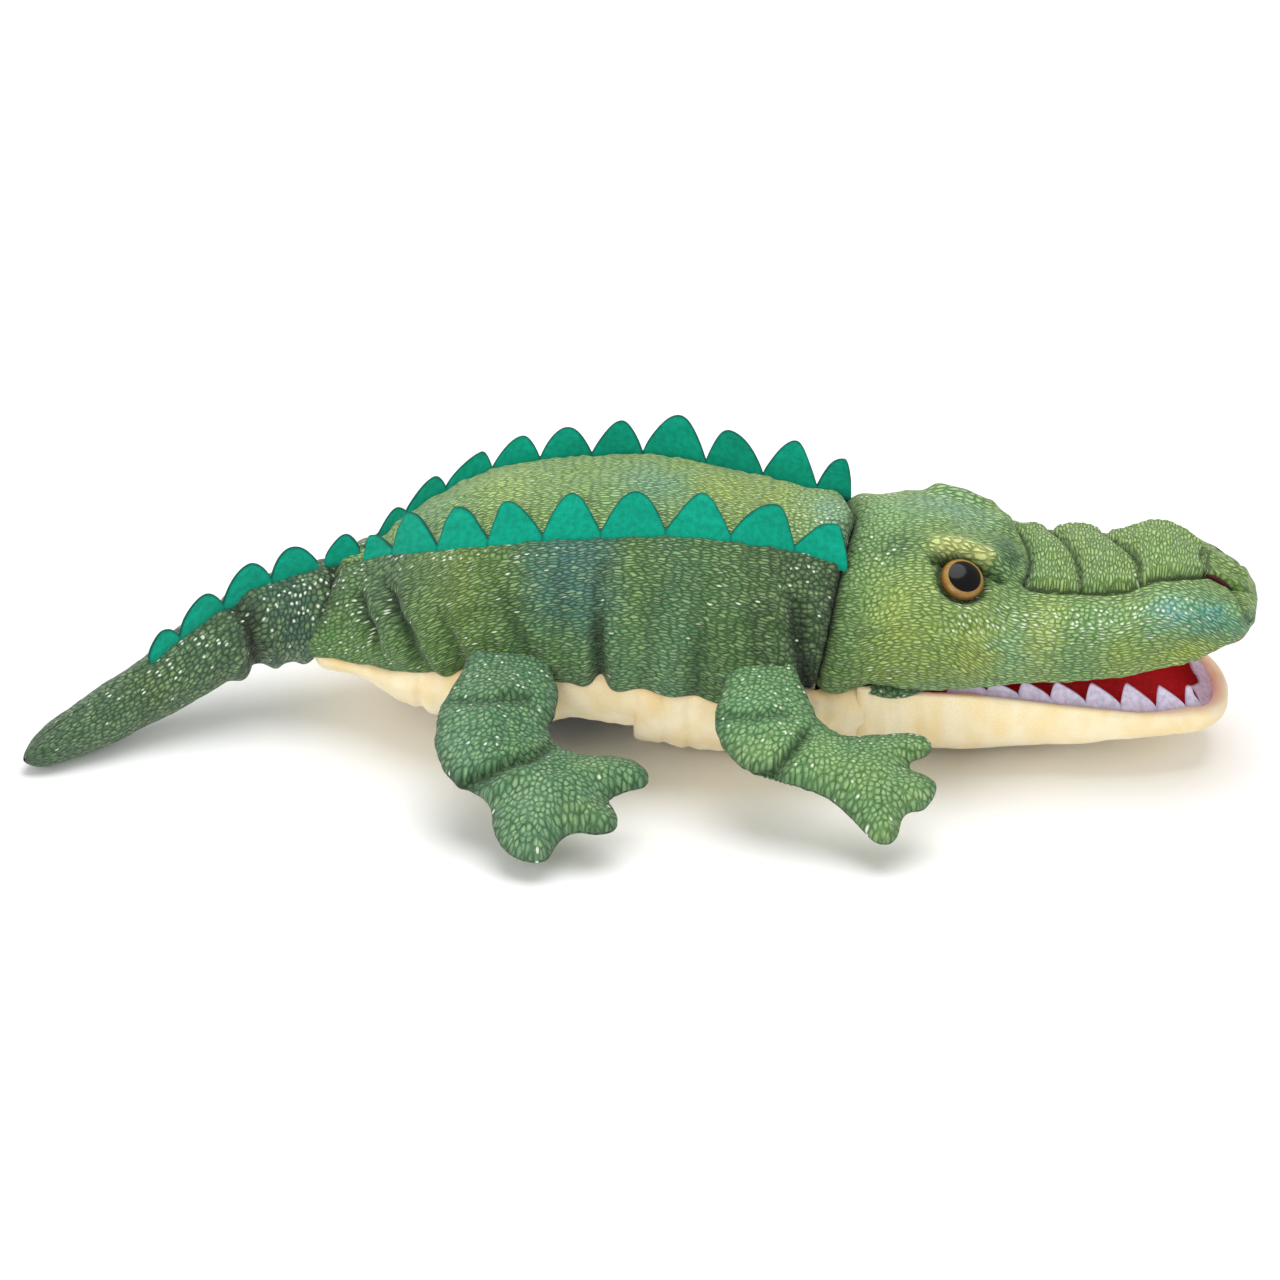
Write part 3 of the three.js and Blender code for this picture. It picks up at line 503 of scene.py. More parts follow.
def woven(name, rgb):
    n = Nodes(name)
    place = n.add("ShaderNodeTexCoord").outputs["Object"]
    thread = {"Vector": place, "Scale": 260.0, "Distortion": 0.4}
    warp, weft = (n.add("ShaderNodeTexWave", thread, bands_direction=axis).outputs["Fac"] for axis in "XY")
    height = n.math("MAXIMUM", warp, weft)
    paint = n.mix(height, rgba([v * 0.78 for v in rgb]), rgba(rgb))
    return n.finish(height, 0.0002, 0.5, Base_Color=paint, Roughness=0.88, Specular_IOR_Level=0.2)


def plastic(name, rgb, rough):
    n = Nodes(name)
    place = n.add("ShaderNodeTexCoord").outputs["Object"]
    grain = n.noise(place, (900, 900, 900), 3.0)
    paint = n.mix(grain.outputs["Fac"], rgba([v * 0.92 for v in rgb]), rgba(rgb))
    spread = n.span(grain.outputs["Fac"], 0.2, 0.8, rough - 0.06, rough + 0.06)
    return n.finish(grain.outputs["Fac"], 0.00005, 0.4, Base_Color=paint, Roughness=spread)


# A safety eye: black pupil, amber ring, brown rim, by distance from its middle.
def eye_plastic():
    n = Nodes("eye plastic")
    radius = n.attribute("radius")
    place = n.attribute("cloth", "Vector")
    rays = n.noise(place, (700, 700, 700), 3.0)
    amber = n.mix(rays.outputs["Fac"], rgba((128, 92, 44)), rgba((178, 140, 76)))
    amber = n.mix(n.span(radius, 0.86, 1.0), amber, rgba((104, 70, 28)))
    paint = n.mix(n.span(radius, 0.74, 0.775), rgba((6, 5, 6)), amber)
    return n.finish(Base_Color=paint, Roughness=0.18, Specular_IOR_Level=0.16,
                    Coat_Weight=0.12, Coat_Roughness=0.03)


SCALES = scale_plush()
CREAM = velour("cream velour", (255, 241, 205), (250, 226, 170))
EMERALD = felt("emerald felt", (0, 156, 127), (4, 54, 46))
RED = felt("red felt", (216, 14, 30), (140, 6, 18), 0.1)
LILAC = felt("white felt", (226, 220, 246), (176, 168, 204), 0.12)
LINING = woven("lining cloth", (232, 222, 198))
BOARD = plastic("mouth board", (88, 84, 78), 0.6)
WASHER = plastic("washer nylon", (232, 232, 226), 0.45)
EYE = eye_plastic()
NOSTRIL = felt("nostril lining", (74, 20, 18), (40, 10, 10), 0.05)

# ---------------------------------------------------------------- body skin
# x, print of the upper side and of the lower side
BODY_PRINT = [
    (-127, (128, 160, 108), (124, 158, 106)), (-117, (122, 154, 112), (126, 158, 104)),
    (-105, (90, 122, 88), (112, 144, 92)), (-90, (136, 166, 108), (120, 150, 94)),
    (-76, (160, 182, 108), (118, 146, 88)), (-62, (126, 156, 84), (96, 124, 68)),
    (-47, (116, 158, 132), (98, 130, 82)), (-33, (104, 156, 150), (118, 148, 100)),
    (-19, (108, 150, 138), (96, 132, 100)), (-4, (124, 158, 98), (124, 158, 118)),
    (10, (108, 150, 110), (122, 158, 124)), (24, (110, 150, 100), (102, 136, 94)),
    (39, (108, 142, 90), (92, 122, 74)), (53, (84, 114, 66), (70, 98, 60)), (67, (78, 108, 72),
    (62, 86, 56)),
    (78, (66, 98, 58), (58, 82, 52)), (92, (70, 100, 62), (60, 84, 54)),
]
BACK_PATCHES = [
    (-60, 0, 14, 20, (186, 204, 132), 0.7), (-25, -8, 12, 16, (150, 180, 110), 0.6),
    (0, 4, 16, 14, (132, 176, 158), 0.7), (30, 0, 12, 18, (190, 198, 110), 0.65),
    (52, -6, 12, 18, (186, 190, 108), 0.6), (74, 2, 10, 20, (156, 190, 176), 0.75),
    (-88, 6, 12, 18, (150, 186, 150), 0.6), (12, -22, 12, 8, (176, 190, 104), 0.6),
]
# crease down the side: x at the ridge, x at the belly, angles it runs between, depth, half-width
BODY_FOLDS = [
    (-18, -19, 36, 62, 1.8, 2.0), (-18.5, -16.5, 58, 99, 5.0, 3.2), (24, 22, 62, 99, 2.4, 4.5),
    (60, 67.5, 44, 97, 5.0, 4.0), (-60, -45, 50, 88, 2.2, 4.4), (-84, -72, 58, 97, 2.2, 3.0),
    (-107, -91, 36, 94, 4.0, 2.8), (-119, -108, 34, 88, 3.2, 2.4), (-36, -32, 40, 74, 1.4, 5.0),
    (44, 47, 44, 80, 1.2, 4.5), (4, 2, 50, 99, 1.3, 5.0), (-98, -84, 60, 99, 1.6, 2.6),
]
NECK_TOP, NECK_BOTTOM = 84.0, 71.0


# x of the seam behind the head, and of the seam at the root of the tail.
def neck_seam(angle):
    return NECK_TOP + (NECK_BOTTOM - NECK_TOP) * np.minimum(np.abs(angle), BELLY) / BELLY


def rear_seam(angle):
    return -128 - 11 * (np.minimum(np.abs(angle), BELLY) / BELLY) ** 2.2


# How far the edge of the belly cloth runs down towards the tail, in degrees.
def belly_drop(x):
    return 18 * smooth(-88, -126, x)


# The creases down one side: a sharp valley with a soft ridge on either hand.
def fold_depth(x, turn, seed):
    total = np.zeros(np.shape(x))
    for k, (top, low, start, end, depth, width) in enumerate(BODY_FOLDS):
        t = np.clip((turn - start) / (end - start), 0, 1)
        centre = top + (low - top) * t + 0.9 * ripples(seed + k, turn, 26, 3)
        strength = smooth(start - 4, start + 16, turn) * (1 if end > 95 else smooth(end + 8, end - 10, turn))
        d = (x - centre) / width
        total += strength * depth * (-np.exp(-d * d) + 0.42 * np.exp(-((np.abs(d) - 2.1) / 1.25) ** 2))
    return total


# Print of the side at x, from one column of BODY_PRINT.
def side_print(x, column):
    places = [row[0] for row in BODY_PRINT]
    return np.stack([np.interp(x, places, [row[column][k] for row in BODY_PRINT]) for k in range(3)], -1)


def body_skin():
    rows, cols = 250, 236
    u, w = lattice(np.linspace(0, 1, rows), np.linspace(-1, 1, cols))
    angle = w * BELLY
    x = rear_seam(angle) + (neck_seam(angle) - rear_seam(angle)) * u
    side = np.sign(angle)
    angle = angle * (1 + 0.012 * waves(11, x, side * 40, 24, 4) * np.abs(w) ** 3)
    angle = angle + side * belly_drop(x) * w ** 4
    turn = np.abs(angle)
    base, out = torso_surface(x, angle)
    arc = around(base)
    seam_distance = arc_length(turn - ridge_seam(x), BACK_R)
    belly_distance = arc_length(BELLY - np.abs(w) * BELLY, SIDE_R)
    neck_distance = neck_seam(angle) - x
    rear_distance = x - rear_seam(angle)
    left = waves(21, x, arc, 30) * 0.55 + waves(22, x, arc, 12) * 0.22
    d = np.where(side >= 0, left, np.roll(left, 7, 0))
    folds = np.where(side >= 0, fold_depth(x, turn, 31), fold_depth(x + 5, turn, 61) * 0.8)
    d = d + folds
    d -= 1.5 * bell(seam_distance, 0, 1.5)
    puckers = waves(41, x, side * 30, 6.5, 5)
    d += 0.55 * puckers * fade(np.abs(seam_distance), 7)
    d += 0.7 * waves(42, x, side * 30, 7.5, 5) * fade(belly_distance, 8)
    d += 0.9 * ripples(43, arc, 6.5, 5) * fade(neck_distance, 9)
    d += 2.2 * bell(neck_distance, 9, 6) * smooth(38, 70, turn)
    d += 0.8 * ripples(44, arc, 7.5, 5) * fade(rear_distance, 9)
    for hip_x in (REAR_LEG["pivot"][0], FRONT_LEG["pivot"][0]):
        from_hip = np.hypot(x - hip_x, (turn - 82) * 1.05)
        d -= 1.8 * bell(from_hip, 21, 5.5) * smooth(50, 72, turn)
    d -= turned(belly_distance, 3.2, 3.2)
    d -= turned(neck_distance, 6.0, 6.5)
    d -= turned(rear_distance, 7.0, 9.0)
    points = base + out * d[..., None]
    points[..., 2] = np.maximum(points[..., 2], FLOOR_GAP)

    wobbled = x + 3.0 * waves(51, x, arc, 22)
    blend = smooth(52, 86, turn)[..., None]
    tone = side_print(wobbled, 1) * (1 - blend) + side_print(wobbled, 2) * blend
    back = printed((150, 176, 118), x, angle, BACK_PATCHES)
    inside = smooth(2.0, -2.0, seam_distance)[..., None]
    tone = tone * (1 - inside) + back * inside
    shade = np.clip(-folds / 4.5, 0, 0.85) + 0.7 * bell(seam_distance, 0, 1.3)
    shade += 0.9 * fade(neck_distance, 3.5)
    shade += 0.8 * fade(rear_distance, 3.5) + 0.35 * fade(belly_distance, 2.5)
    round_cells = np.maximum(smooth(44, 62, x), smooth(-92, -106, x))
    round_cells = np.maximum(round_cells, 0.6 * bell(seam_distance, 6, 5) * smooth(-40, -60, x))
    stretch = np.clip(1.0 - round_cells - 0.3 * (waves(52, x, arc, 30) > 0.9), 0, 1)
    foil = 0.01 + 0.25 * bell(seam_distance, 6, 6) * smooth(-30, -50, x) + 0.12 * smooth(-98, -112, x)
    foil = foil + 0.09 * smooth(48, 62, x) * smooth(80, 40, turn) + 0.1 * (waves(53, x, arc, 16) > 1.0)
    gain = 0.77 + 0.15 * blend + 0.27 * inside
    skin = grid("body_skin", points, SCALES, cloth=cloth_coordinates(x, arc),
                tone=colour(dyed(tone, 1.5 - 0.28 * inside, gain)), shade=np.clip(shade, 0, 1),
                stretch=stretch, foil=foil * (1 - 0.4 * inside[..., 0]))
    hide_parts("back_panel", "side_panel_left", "side_panel_right", "neck_band")
    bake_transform(skin)
    declare_sheet(skin, points)


# ---------------------------------------------------------------- belly cloth
# x and depth of each crease across the belly
BELLY_CREASES = [
    (10.5, 1.0), (20.5, 0.9), (55, 1.1), (70, 1.2), (77, 1.3), (84, 1.1), (-90, 1.3), (-62, 0.9),
]


# How far a hand inside pushes the rear of the belly cloth up.
def hand_hump(x, y):
    return 7.0 * smooth(-52, -24, x) * smooth(60, 20, np.abs(y) - 10 * smooth(-60, -30, x))


# One piece of the cream cloth under the body, from start to end along x. Each hem is its width and depth.
def belly_cloth(name, start, end, replaced, hem_start, hem_end, lift=None):
    rows, cols = int((end - start) * 1.1) + 8, 190
    u, angle = lattice(np.linspace(0, 1, rows), np.linspace(BELLY - 3, 363 - BELLY, cols))
    x = start + (end - start) * u
    edge = arc_length(np.minimum(angle - BELLY, 360 - BELLY - angle) + 3, SIDE_R)
    angle = 180 + (angle - 180) * (1 - belly_drop(x) / (180 - BELLY))
    base, out = torso_surface(x, angle)
    arc = around(base)
    from_start, to_end = x - start, end - x
    d = 0.5 * waves(81, x, arc, 26) + 0.25 * waves(82, x, arc, 9)
    d += 1.2 * bell(edge, 13, 8) - turned(edge, 6, 5)
    for crease_x, depth in BELLY_CREASES:
        slant = 0.1 * (90 - np.abs(arc)) * (crease_x > 65)
        d -= depth * bell(x + slant + 0.8 * ripples(83, arc, 30, 3), crease_x, 2.0)
    d -= turned(from_start, *hem_start) + turned(to_end, *hem_end)
    d -= 5.0 * np.exp(-((to_end / 9) ** 2) - ((edge - 3) / 9) ** 2) * (end > 50)
    d += 0.6 * ripples(84, arc, 10, 4) * (fade(from_start, 6) + fade(to_end, 6))
    points = base + out * d[..., None]
    if lift:
        points[..., 2] += lift(x, points[..., 1])
    points[..., 2] = np.maximum(points[..., 2], FLOOR_GAP)
    shade = 0.5 * fade(edge, 4) + 0.25 * fade(from_start, 2) + 0.25 * fade(to_end, 2)
    cloth = grid(name, points, CREAM, cloth=cloth_coordinates(x, arc), shade=np.clip(shade, 0, 1))
    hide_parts(replaced)
    return cloth, points


# Removes the cloth inside the hand opening.
def cut_hand_hole(cloth):
    mesh = cloth.data
    middles = values_of(mesh.polygons, "center", 3) / MM
    in_hole = ((middles[:, 0] - HAND_X) / HAND_LONG) ** 2 + (middles[:, 1] / HAND_WIDE) ** 2 < 1
    quads = np.array([face.vertices[:] for face in mesh.polygons])[~in_hole]
    places = values_of(mesh.vertices, "co", 3)
    data = {"cloth": values_of(mesh.attributes["cloth"].data, "vector", 3),
            "shade": values_of(mesh.attributes["shade"].data, "value", 1)}
    mesh.clear_geometry()
    used, flat = np.unique(quads, return_inverse=True)
    mesh.from_pydata(places[used].tolist(), [], flat.reshape(-1, 4).tolist())
    mesh.polygons.foreach_set("use_smooth", np.ones(len(mesh.polygons), bool))
    mesh.update()
    put_attributes(mesh, {name: values[used] for name, values in data.items()})


# A soft tube along a closed or open line of points.
def tube(name, line, radius, material, wrap, sides=12, **attributes):
    line = np.asarray(line, float)
    along = unit(np.roll(line, -1, 0) - np.roll(line, 1, 0) if wrap else np.gradient(line, axis=0))
    up = unit(np.array([0, 0, 1.0]) - along * along[:, 2:3])
    across = np.cross(along, up)
    t = np.linspace(0, math.tau, sides, endpoint=False)
    radius = np.broadcast_to(radius, len(line))[:, None, None]
    ring = across[:, None] * np.cos(t)[None, :, None] + up[:, None] * np.sin(t)[None, :, None]
    points = line[:, None] + ring * radius
    s, q = lattice(run_along(line), t)
    if wrap:
        points = np.concatenate([points, points[:1]])
        s, q = np.vstack([s, s[-1:] + 1]), np.vstack([q, q[:1]])
    data = {"cloth": cloth_coordinates(s, q), "shade": 0 * s, "edge": 0 * s}
    data.update({k: np.broadcast_to(v, s.shape) for k, v in attributes.items()})
    return grid(name, points, material, wrap=True, **data)


def belly():
    front, front_points = belly_cloth("belly_front", -2.5, 92, "belly_front_panel", (2.4, 2.0), (2.0, 1.2))
    declare_sheet(front, front_points)
    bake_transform(front)
    rear, rear_points = belly_cloth("belly_rear", -135, 1, "belly_rear_panel", (7.0, 9.0), (2.4, 3.0),
                                    hand_hump)
    cut_hand_hole(rear)
    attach(rear, "torso")
    t = np.linspace(0, math.tau, 220, endpoint=False)
    x, y = HAND_X + HAND_LONG * np.cos(t), HAND_WIDE * np.sin(t)
    angle = 180 + np.degrees(np.arcsin(np.clip(y / torso_a(x), -1, 1)))
    z = torso_point(x, angle)[..., 2] + hand_hump(x, y)
    line = np.stack([x, y, z + 1.2 + 0.5 * np.sin(9 * t) + 0.3 * np.sin(23 * t)], -1)
    hem = tube("hand_hole_hem", line, 2.1 + 0.25 * np.sin(31 * t), CREAM, True)
    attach(hem, "torso")
    declare_sheet(rear, rear_points)
    u, q = lattice(np.linspace(-8, 71, 90), np.linspace(0, 360, 140, endpoint=False))
    base, out = torso_surface(u, q, 4.6)
    folds = 1.0 * waves(91, q * 0.9, 0 * q, 13, 5) + 0.7 * waves(92, u, q, 26)
    inner = base + out * (folds - 1.0)[..., None]
    inner[..., 2] = np.maximum(inner[..., 2], 3.6)
    sleeve = grid("glove_sleeve", inner, LINING, wrap=True)
    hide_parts("glove_lining")
    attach(sleeve, "torso")
    declare_sheet(sleeve, inner)


# ---------------------------------------------------------------- felt ridges
# Height of the spikes at x, and the distance to the nearest valley.
def spike_heights(x, spikes, power):
    height = np.zeros(np.shape(x))
    nearest = np.full(np.shape(x), 1e9)
    for (start, point, rise), (end, _, _) in zip(spikes, spikes[1:]):
        t = np.where(x < point, 0.5 * (x - start) / max(point - start, 0.1),
                     0.5 + 0.5 * (x - point) / max(end - point, 0.1))
        inside = (x >= start) & (x <= end)
        height = np.where(inside, rise * np.sin(np.pi * np.clip(t, 0, 1)) ** power, height)
        nearest = np.minimum(nearest, np.abs(x - start))
    return height, nearest


# A felt strip with two faces: up the front by rising levels, and down the back again.
def two_faces(levels, place):
    columns = [place(level, face) for face, order in ((1, levels), (-1, levels[::-1])) for level in order]
    return np.stack([point for point, _ in columns], 1), np.stack([rise for _, rise in columns], 1)


# A strip of spikes sewn along a seam: base gives its line and up its lean, both from x.
def ridge(name, base, up, spikes, power, seed, curl):
    step, hem, allowance = 0.35, 1.6, 3.2
    x = np.arange(spikes[0][0], spikes[-1][0] + step, step)
    x = x[x <= spikes[-1][0]]
    height, nearest = spike_heights(x, spikes, power)
    top = hem + height
    low = base(x)
    lean = unit(up(x))
    across = np.cross(unit(np.gradient(low, axis=0)), lean)

    # A level below 0 is a depth under the skin, and one above it a share of the way to the cut edge.
    def place(level, face):
        rise = top * level if level > 0 else np.full(len(x), level)
        free = max(level, 0)
        bend = curl * np.sin(x * 0.11 + seed) * (rise / 12) ** 2
        bend = bend + 0.5 * waves(seed, x, rise * 2, 18, 4) * free
        half_thick = 0.78 * (1 - 0.35 * free ** 6)
        return low + lean * rise[:, None] + across * (bend + face * half_thick)[:, None], rise

    levels = np.concatenate([[-allowance], np.linspace(-0.4, 1, 22)[1:]])
    points, rise = two_faces(levels, place)
    points[[0, -1]] = low[[0, -1], None]
    xs = x[:, None] + 0 * rise
    # Painted shade along the cut edge of the strip and in the valleys at the foot of the spikes.
    slope = np.abs(np.gradient(top, step))[:, None]
    edge = 0.85 * bell((top[:, None] - rise) / np.sqrt(1 + slope ** 2), 0, 0.55)
    edge = np.maximum(edge, 0.5 * bell(nearest[:, None], 0, 0.5) * (rise < 3))
    strip = grid(name, points, EMERALD, wrap=True, cloth=cloth_coordinates(xs, rise), edge=edge, shade=0 * xs)
    declare_sheet(strip, points[:, :len(levels)])
    return strip


def lean_right(x):
    return np.radians(21 + 3 * np.sin(x * 0.09))


def lean_left(x):
    return np.radians(np.interp(x, [-100, -50, -30, 0, 20, 90], [-14, -14, -9, -7, -12, -12]))


def rump_line(x):
    past = np.minimum(x + 127, 0)
    return torso_point(np.maximum(x, -127), 0 * x, 0.5) + np.stack([past, 0 * x, 0.3 * past], -1)


def ridges():
    for side, sign, spikes, lean, power in (("right", -1, SPIKES_RIGHT, lean_right, 0.98),
                                            ("left", 1, SPIKES_LEFT, lean_left, 0.86)):
        def base(x):
            return torso_point(x, -sign * ridge_seam(x), 0.6)

        def up(x):
            return np.stack([0.06 * np.sin(x * 0.15), -sign * np.sin(lean(x)), np.cos(lean(x))], -1)

        strip = ridge(f"spikes_{side}", base, up, spikes, power, 3 + sign, 0.9)
        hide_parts(f"ridge_{side}")
        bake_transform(strip)
    rump = ridge("scallop_rump", rump_line, lambda x: np.stack([0 * x, 0 * x, 1 + 0 * x], -1),
                 SPIKES_RUMP, 0.8, 7, 0.5)
    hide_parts("ridge_rump")
    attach(rump, "torso")
    tail = ridge("scallops_tail", lambda x: tail_point(x, 0 * x, 0.5),
                 lambda x: np.stack([-0.16 + 0 * x, 0 * x, 1 + 0 * x], -1),
                 SPIKES_TAIL, 0.72, 8, 0.5)
    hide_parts("ridge_tail")
    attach(tail, "tail")


# ---------------------------------------------------------------- tail
# x of each crease at the side of the tail, its slant, depth and half-width
TAIL_CREASES = [
    (-164.5, 0.045, 5.0, 3.2), (-131.5, -0.06, 4.5, 3.0), (-176, 0.02, 0.8, 4), (-207, -0.02, 0.7, 5),
]
# x and angle of each patch's middle, its sizes along both, colour and strength. The dark bands at x -131 and
# -165 are painted shade in the two deep creases; the others are print.
TAIL_PATCHES = [
    (-131, 90, 6, 200, (56, 86, 60), 0.8), (-148, 70, 9, 80, (74, 116, 108), 0.85),
    (-165, 80, 5, 80, (52, 76, 58), 0.8), (-172, 20, 8, 60, (84, 116, 76), 0.5),
    (-150, 150, 12, 40, (168, 198, 178), 0.75), (-190, 140, 16, 40, (128, 158, 104), 0.6),
    (-205, 40, 10, 60, (112, 140, 84), 0.6), (-225, 80, 10, 80, (104, 144, 104), 0.6),
]


# The tail's skin closes round its tip.
def tail_skin():
    rows, cols = 190, 150
    u, angle = lattice(np.linspace(0, 1, rows), np.linspace(-180, 180, cols))
    x = -122 - 126.5 * (1 - (1 - u) ** 1.25)
    close = np.sqrt(np.clip(1 - np.clip((-x - 241) / 7.6, 0, 1) ** 2, 0, 1))
    base = tail_point(x, angle)
    centre = np.stack([x, tail_y(x), tail_z(x)], -1)
    base = centre + (base - centre) * close[..., None]
    out = unit(base - centre)
    q = arc_length(angle, TAIL_R)
    d = 0.35 * waves(101, x, q, 16) + 0.2 * waves(102, x, q, 7)
    near = smooth(-30, 60, angle) + smooth(200, 140, angle) - 1
    bend = 0.9 * ripples(103, angle, 80, 3)
    creases = 0
    for middle, slope, depth, width in TAIL_CREASES:
        c = middle + slope * (angle - 90) + bend
        strength = depth * (0.35 + 0.65 * np.clip(near, 0, 1))
        creases = creases - strength * (bell(x, c, width) - 0.35 * bell(np.abs(x - c), 2.2 * width, width))
    d = d + creases * smooth(-250, -235, x)
    d -= 0.8 * bell(q, 0, 1.2) * smooth(-246, -236, x)
    d += 0.35 * ripples(104, x, 6, 4) * fade(np.abs(q), 5)
    d *= smooth(180, 150, np.abs(angle))
    points = base + out * (d * close)[..., None]
    points[..., 2] = np.maximum(points[..., 2], 0.8)
    # Print, with painted shade in the two deep creases.
    tone = printed((98, 138, 106), x, angle, TAIL_PATCHES)
    big = smooth(110, 150, np.abs(angle)) * smooth(-170, -150, x)
    shade = np.clip(-creases / 5, 0, 0.9)
    foil = 0.02 + 0.15 * bell(np.abs(angle), 34, 22) * smooth(-225, -205, x)
    foil = foil + 0.12 * bell(angle, 60, 40) * bell(x, -146, 10)
    skin = grid("tail_skin", points, SCALES, cloth=cloth_coordinates(x * 1.05, q * (1 - 0.38 * big)),
                tone=colour(dyed(tone, 1.25, 0.75)), shade=shade, stretch=0.1 + 0 * x, foil=foil)
    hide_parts("tail_skin_left", "tail_skin_right", "tail_stuffing")
    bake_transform(skin)


# ---------------------------------------------------------------- head
# Paths over the head, as x and angle from the top.
BROW = [(111, 27), (117, 23), (126, 21), (135, 22.5), (142, 29)]
BROW_CREASE = [(113, 34), (119, 30.5), (127, 29), (134, 29), (140, 32), (147, 36)]
NOSE_SEAM = [(226, 0), (227.5, 17.5), (238, 18.5), (242, 37), (244.5, 62), (247, 100)]
SLIT = [(228, 17.5), (233, 17.2), (238, 18.5)]
# How much lower the nostril slit is on the far side, in degrees.
FAR_SLIT = 32
# x, angle of the seam between the top of the snout and the cheek
SNOUT_SEAM = [(148, 29.5), (160, 33), (176, 36.3), (200, 34.8), (213, 31), (222, 25), (229, 18)]
HEAD_PATCHES = [
    (84, 20, 9, 60, (116, 150, 92), 0.6), (84, 95, 10, 50, (112, 142, 90), 0.7),
    (100, 0, 16, 22, (140, 176, 124), 0.6), (124, -8, 18, 14, (150, 188, 168), 0.6),
    (100, 24, 9, 9, (92, 124, 80), 0.75), (104, 62, 12, 22, (168, 182, 104), 0.65),
    (96, 95, 12, 24, (160, 176, 96), 0.55), (120, 92, 10, 26, (150, 168, 88), 0.6),
    (136, 88, 9, 26, (176, 186, 104), 0.7), (150, 84, 8, 30, (150, 184, 142), 0.7),
    (163, 70, 8, 28, (184, 196, 128), 0.7), (178, 60, 8, 24, (136, 170, 116), 0.6),
    (176, 100, 10, 26, (124, 162, 112), 0.6), (190, 62, 9, 16, (150, 182, 140), 0.6),
    (196, 88, 9, 26, (160, 178, 96), 0.6), (214, 62, 12, 18, (142, 184, 168), 0.85),
    (232, 70, 10, 26, (112, 166, 148), 0.9), (222, 112, 12, 14, (172, 184, 92), 0.85),
    (243, 95, 8, 22, (124, 170, 130), 0.8), (207, 118, 12, 14, (152, 172, 96), 0.6),
    (118, 122, 14, 12, (126, 162, 120), 0.7), (146, 122, 12, 12, (140, 172, 124), 0.6),
    (146, 18, 8.5, 17, (84, 122, 78), 1.0), (162, 12, 6, 24, (140, 172, 112), 0.5),
    (183, 10, 8, 24, (146, 172, 118), 0.5), (214, 10, 14, 26, (148, 178, 112), 0.5),
    (240, 12, 8, 14, (128, 158, 88), 0.8),
]


# x of each groove across the top of the snout, its lean and its bow
GROOVES = [(155.1, 6.0, 8.2), (172.6, 8.0, 3.7), (196.0, 8.8, 4.7)]
ROLLS_END = 229
NOSE_TIP = (250.0, 0, 69)


def groove_x(k, angle):
    t = np.maximum(angle, -25) / 33
    middle, lean, bow = GROOVES[k]
    return middle + lean * t - bow * t * t


def eye_distance(x, angle):
    return np.hypot(x - EYE_X, arc_length(np.abs(angle) - EYE_ANGLE, EYE_AREA_R))


# The height of the head's brows, bumps, seams and sockets over its plain form, the painted shade in its
# creases, grooves, seams, slits and eye sockets, and where the cloth is rolled over the bumps of the snout.
def head_relief(x, angle, seed):
    turn = np.abs(angle)
    near = np.where(angle > 0, 1.0, 0.92)
    d = 4.6 * stroke(x, turn, BROW, 4.2, 0.22) * near
    crease = stroke(x, turn, BROW_CREASE, 2.6, 0.12)
    d -= 4.2 * crease * near
    d += 4.6 * bell(x, 144, 7.0) * bell(turn, 16, 13)
    d -= 1.0 * bell(x, 134, 14) * bell(turn, 0, 9)
    dark = 0.9 * crease
    edges = [groove_x(k, angle + 1.2 * ripples(seed + k, angle, 22, 3)) for k in range(3)]
    rolls = 0
    hang = 0
    for low, high, swell in zip(edges, edges[1:] + [ROLLS_END + 0 * x], (5.0, 4.6, 4.6)):
        t = np.clip((x - low) / (high - low), 0, 1) ** 0.82
        inside = (x >= low) & (x <= high)
        rolls = rolls + np.where(inside, swell * (4 * t * (1 - t)) ** 0.52, 0)
        hang = hang + np.where(inside, np.sqrt(4 * t * (1 - t)), 0)
    limit = np.interp(x, *np.array(SNOUT_SEAM).T) + 1.5 * hang
    top = smooth(limit + 3.0, limit - 1.5, turn)
    rounded = np.sqrt(np.clip(1 - (turn / (limit + 1.5)) ** 5, 0, 1))
    rolled = (x >= edges[0]) & (x <= ROLLS_END)
    d += (rolls * rounded - 2.6 * rolled) * top
    for groove in edges:
        d -= 2.2 * bell(x, groove, 1.5) * top
        dark = dark + 0.75 * bell(x, groove, 1.3) * top
    front = smooth(150, 158, x) * smooth(249, 240, x)
    seam = arc_length(turn - limit - 0.5, HEAD_R)
    d += front * top * 2.0 * bell(seam, -4.5, 4)
    d -= front * 2.4 * bell(seam, 0.4, 1.5) + front * 0.6 * smooth(0, 4, seam) * smooth(16, 6, seam)
    dark = dark + front * 0.5 * bell(seam, 0.4, 1.1)
    nose = stroke(x, turn, NOSE_SEAM, 1.3)
    d -= 1.3 * nose
    dark = dark + 0.6 * nose
    from_slit = turn - FAR_SLIT * (angle < 0)
    d -= 3.2 * stroke(x, from_slit, SLIT, 1.7)
    dark = dark + 0.8 * stroke(x, from_slit, SLIT, 1.4)
    eye = eye_distance(x, angle)
    d -= 4.2 * smooth(12.5, 8.5, eye)
    dark = dark + 0.8 * bell(eye, 10.2, 1.4)
    d += 1.4 * bell(eye, 15, 3.5) * smooth(40, 60, turn)
    ribs = np.sin(x * 2.1 + 2.5 * waves(seed + 5, x, angle, 24))
    d += 0.16 * ribs * top * smooth(150, 160, x) * smooth(230, 215, x)
    return d, dark, rolled & (turn < limit)


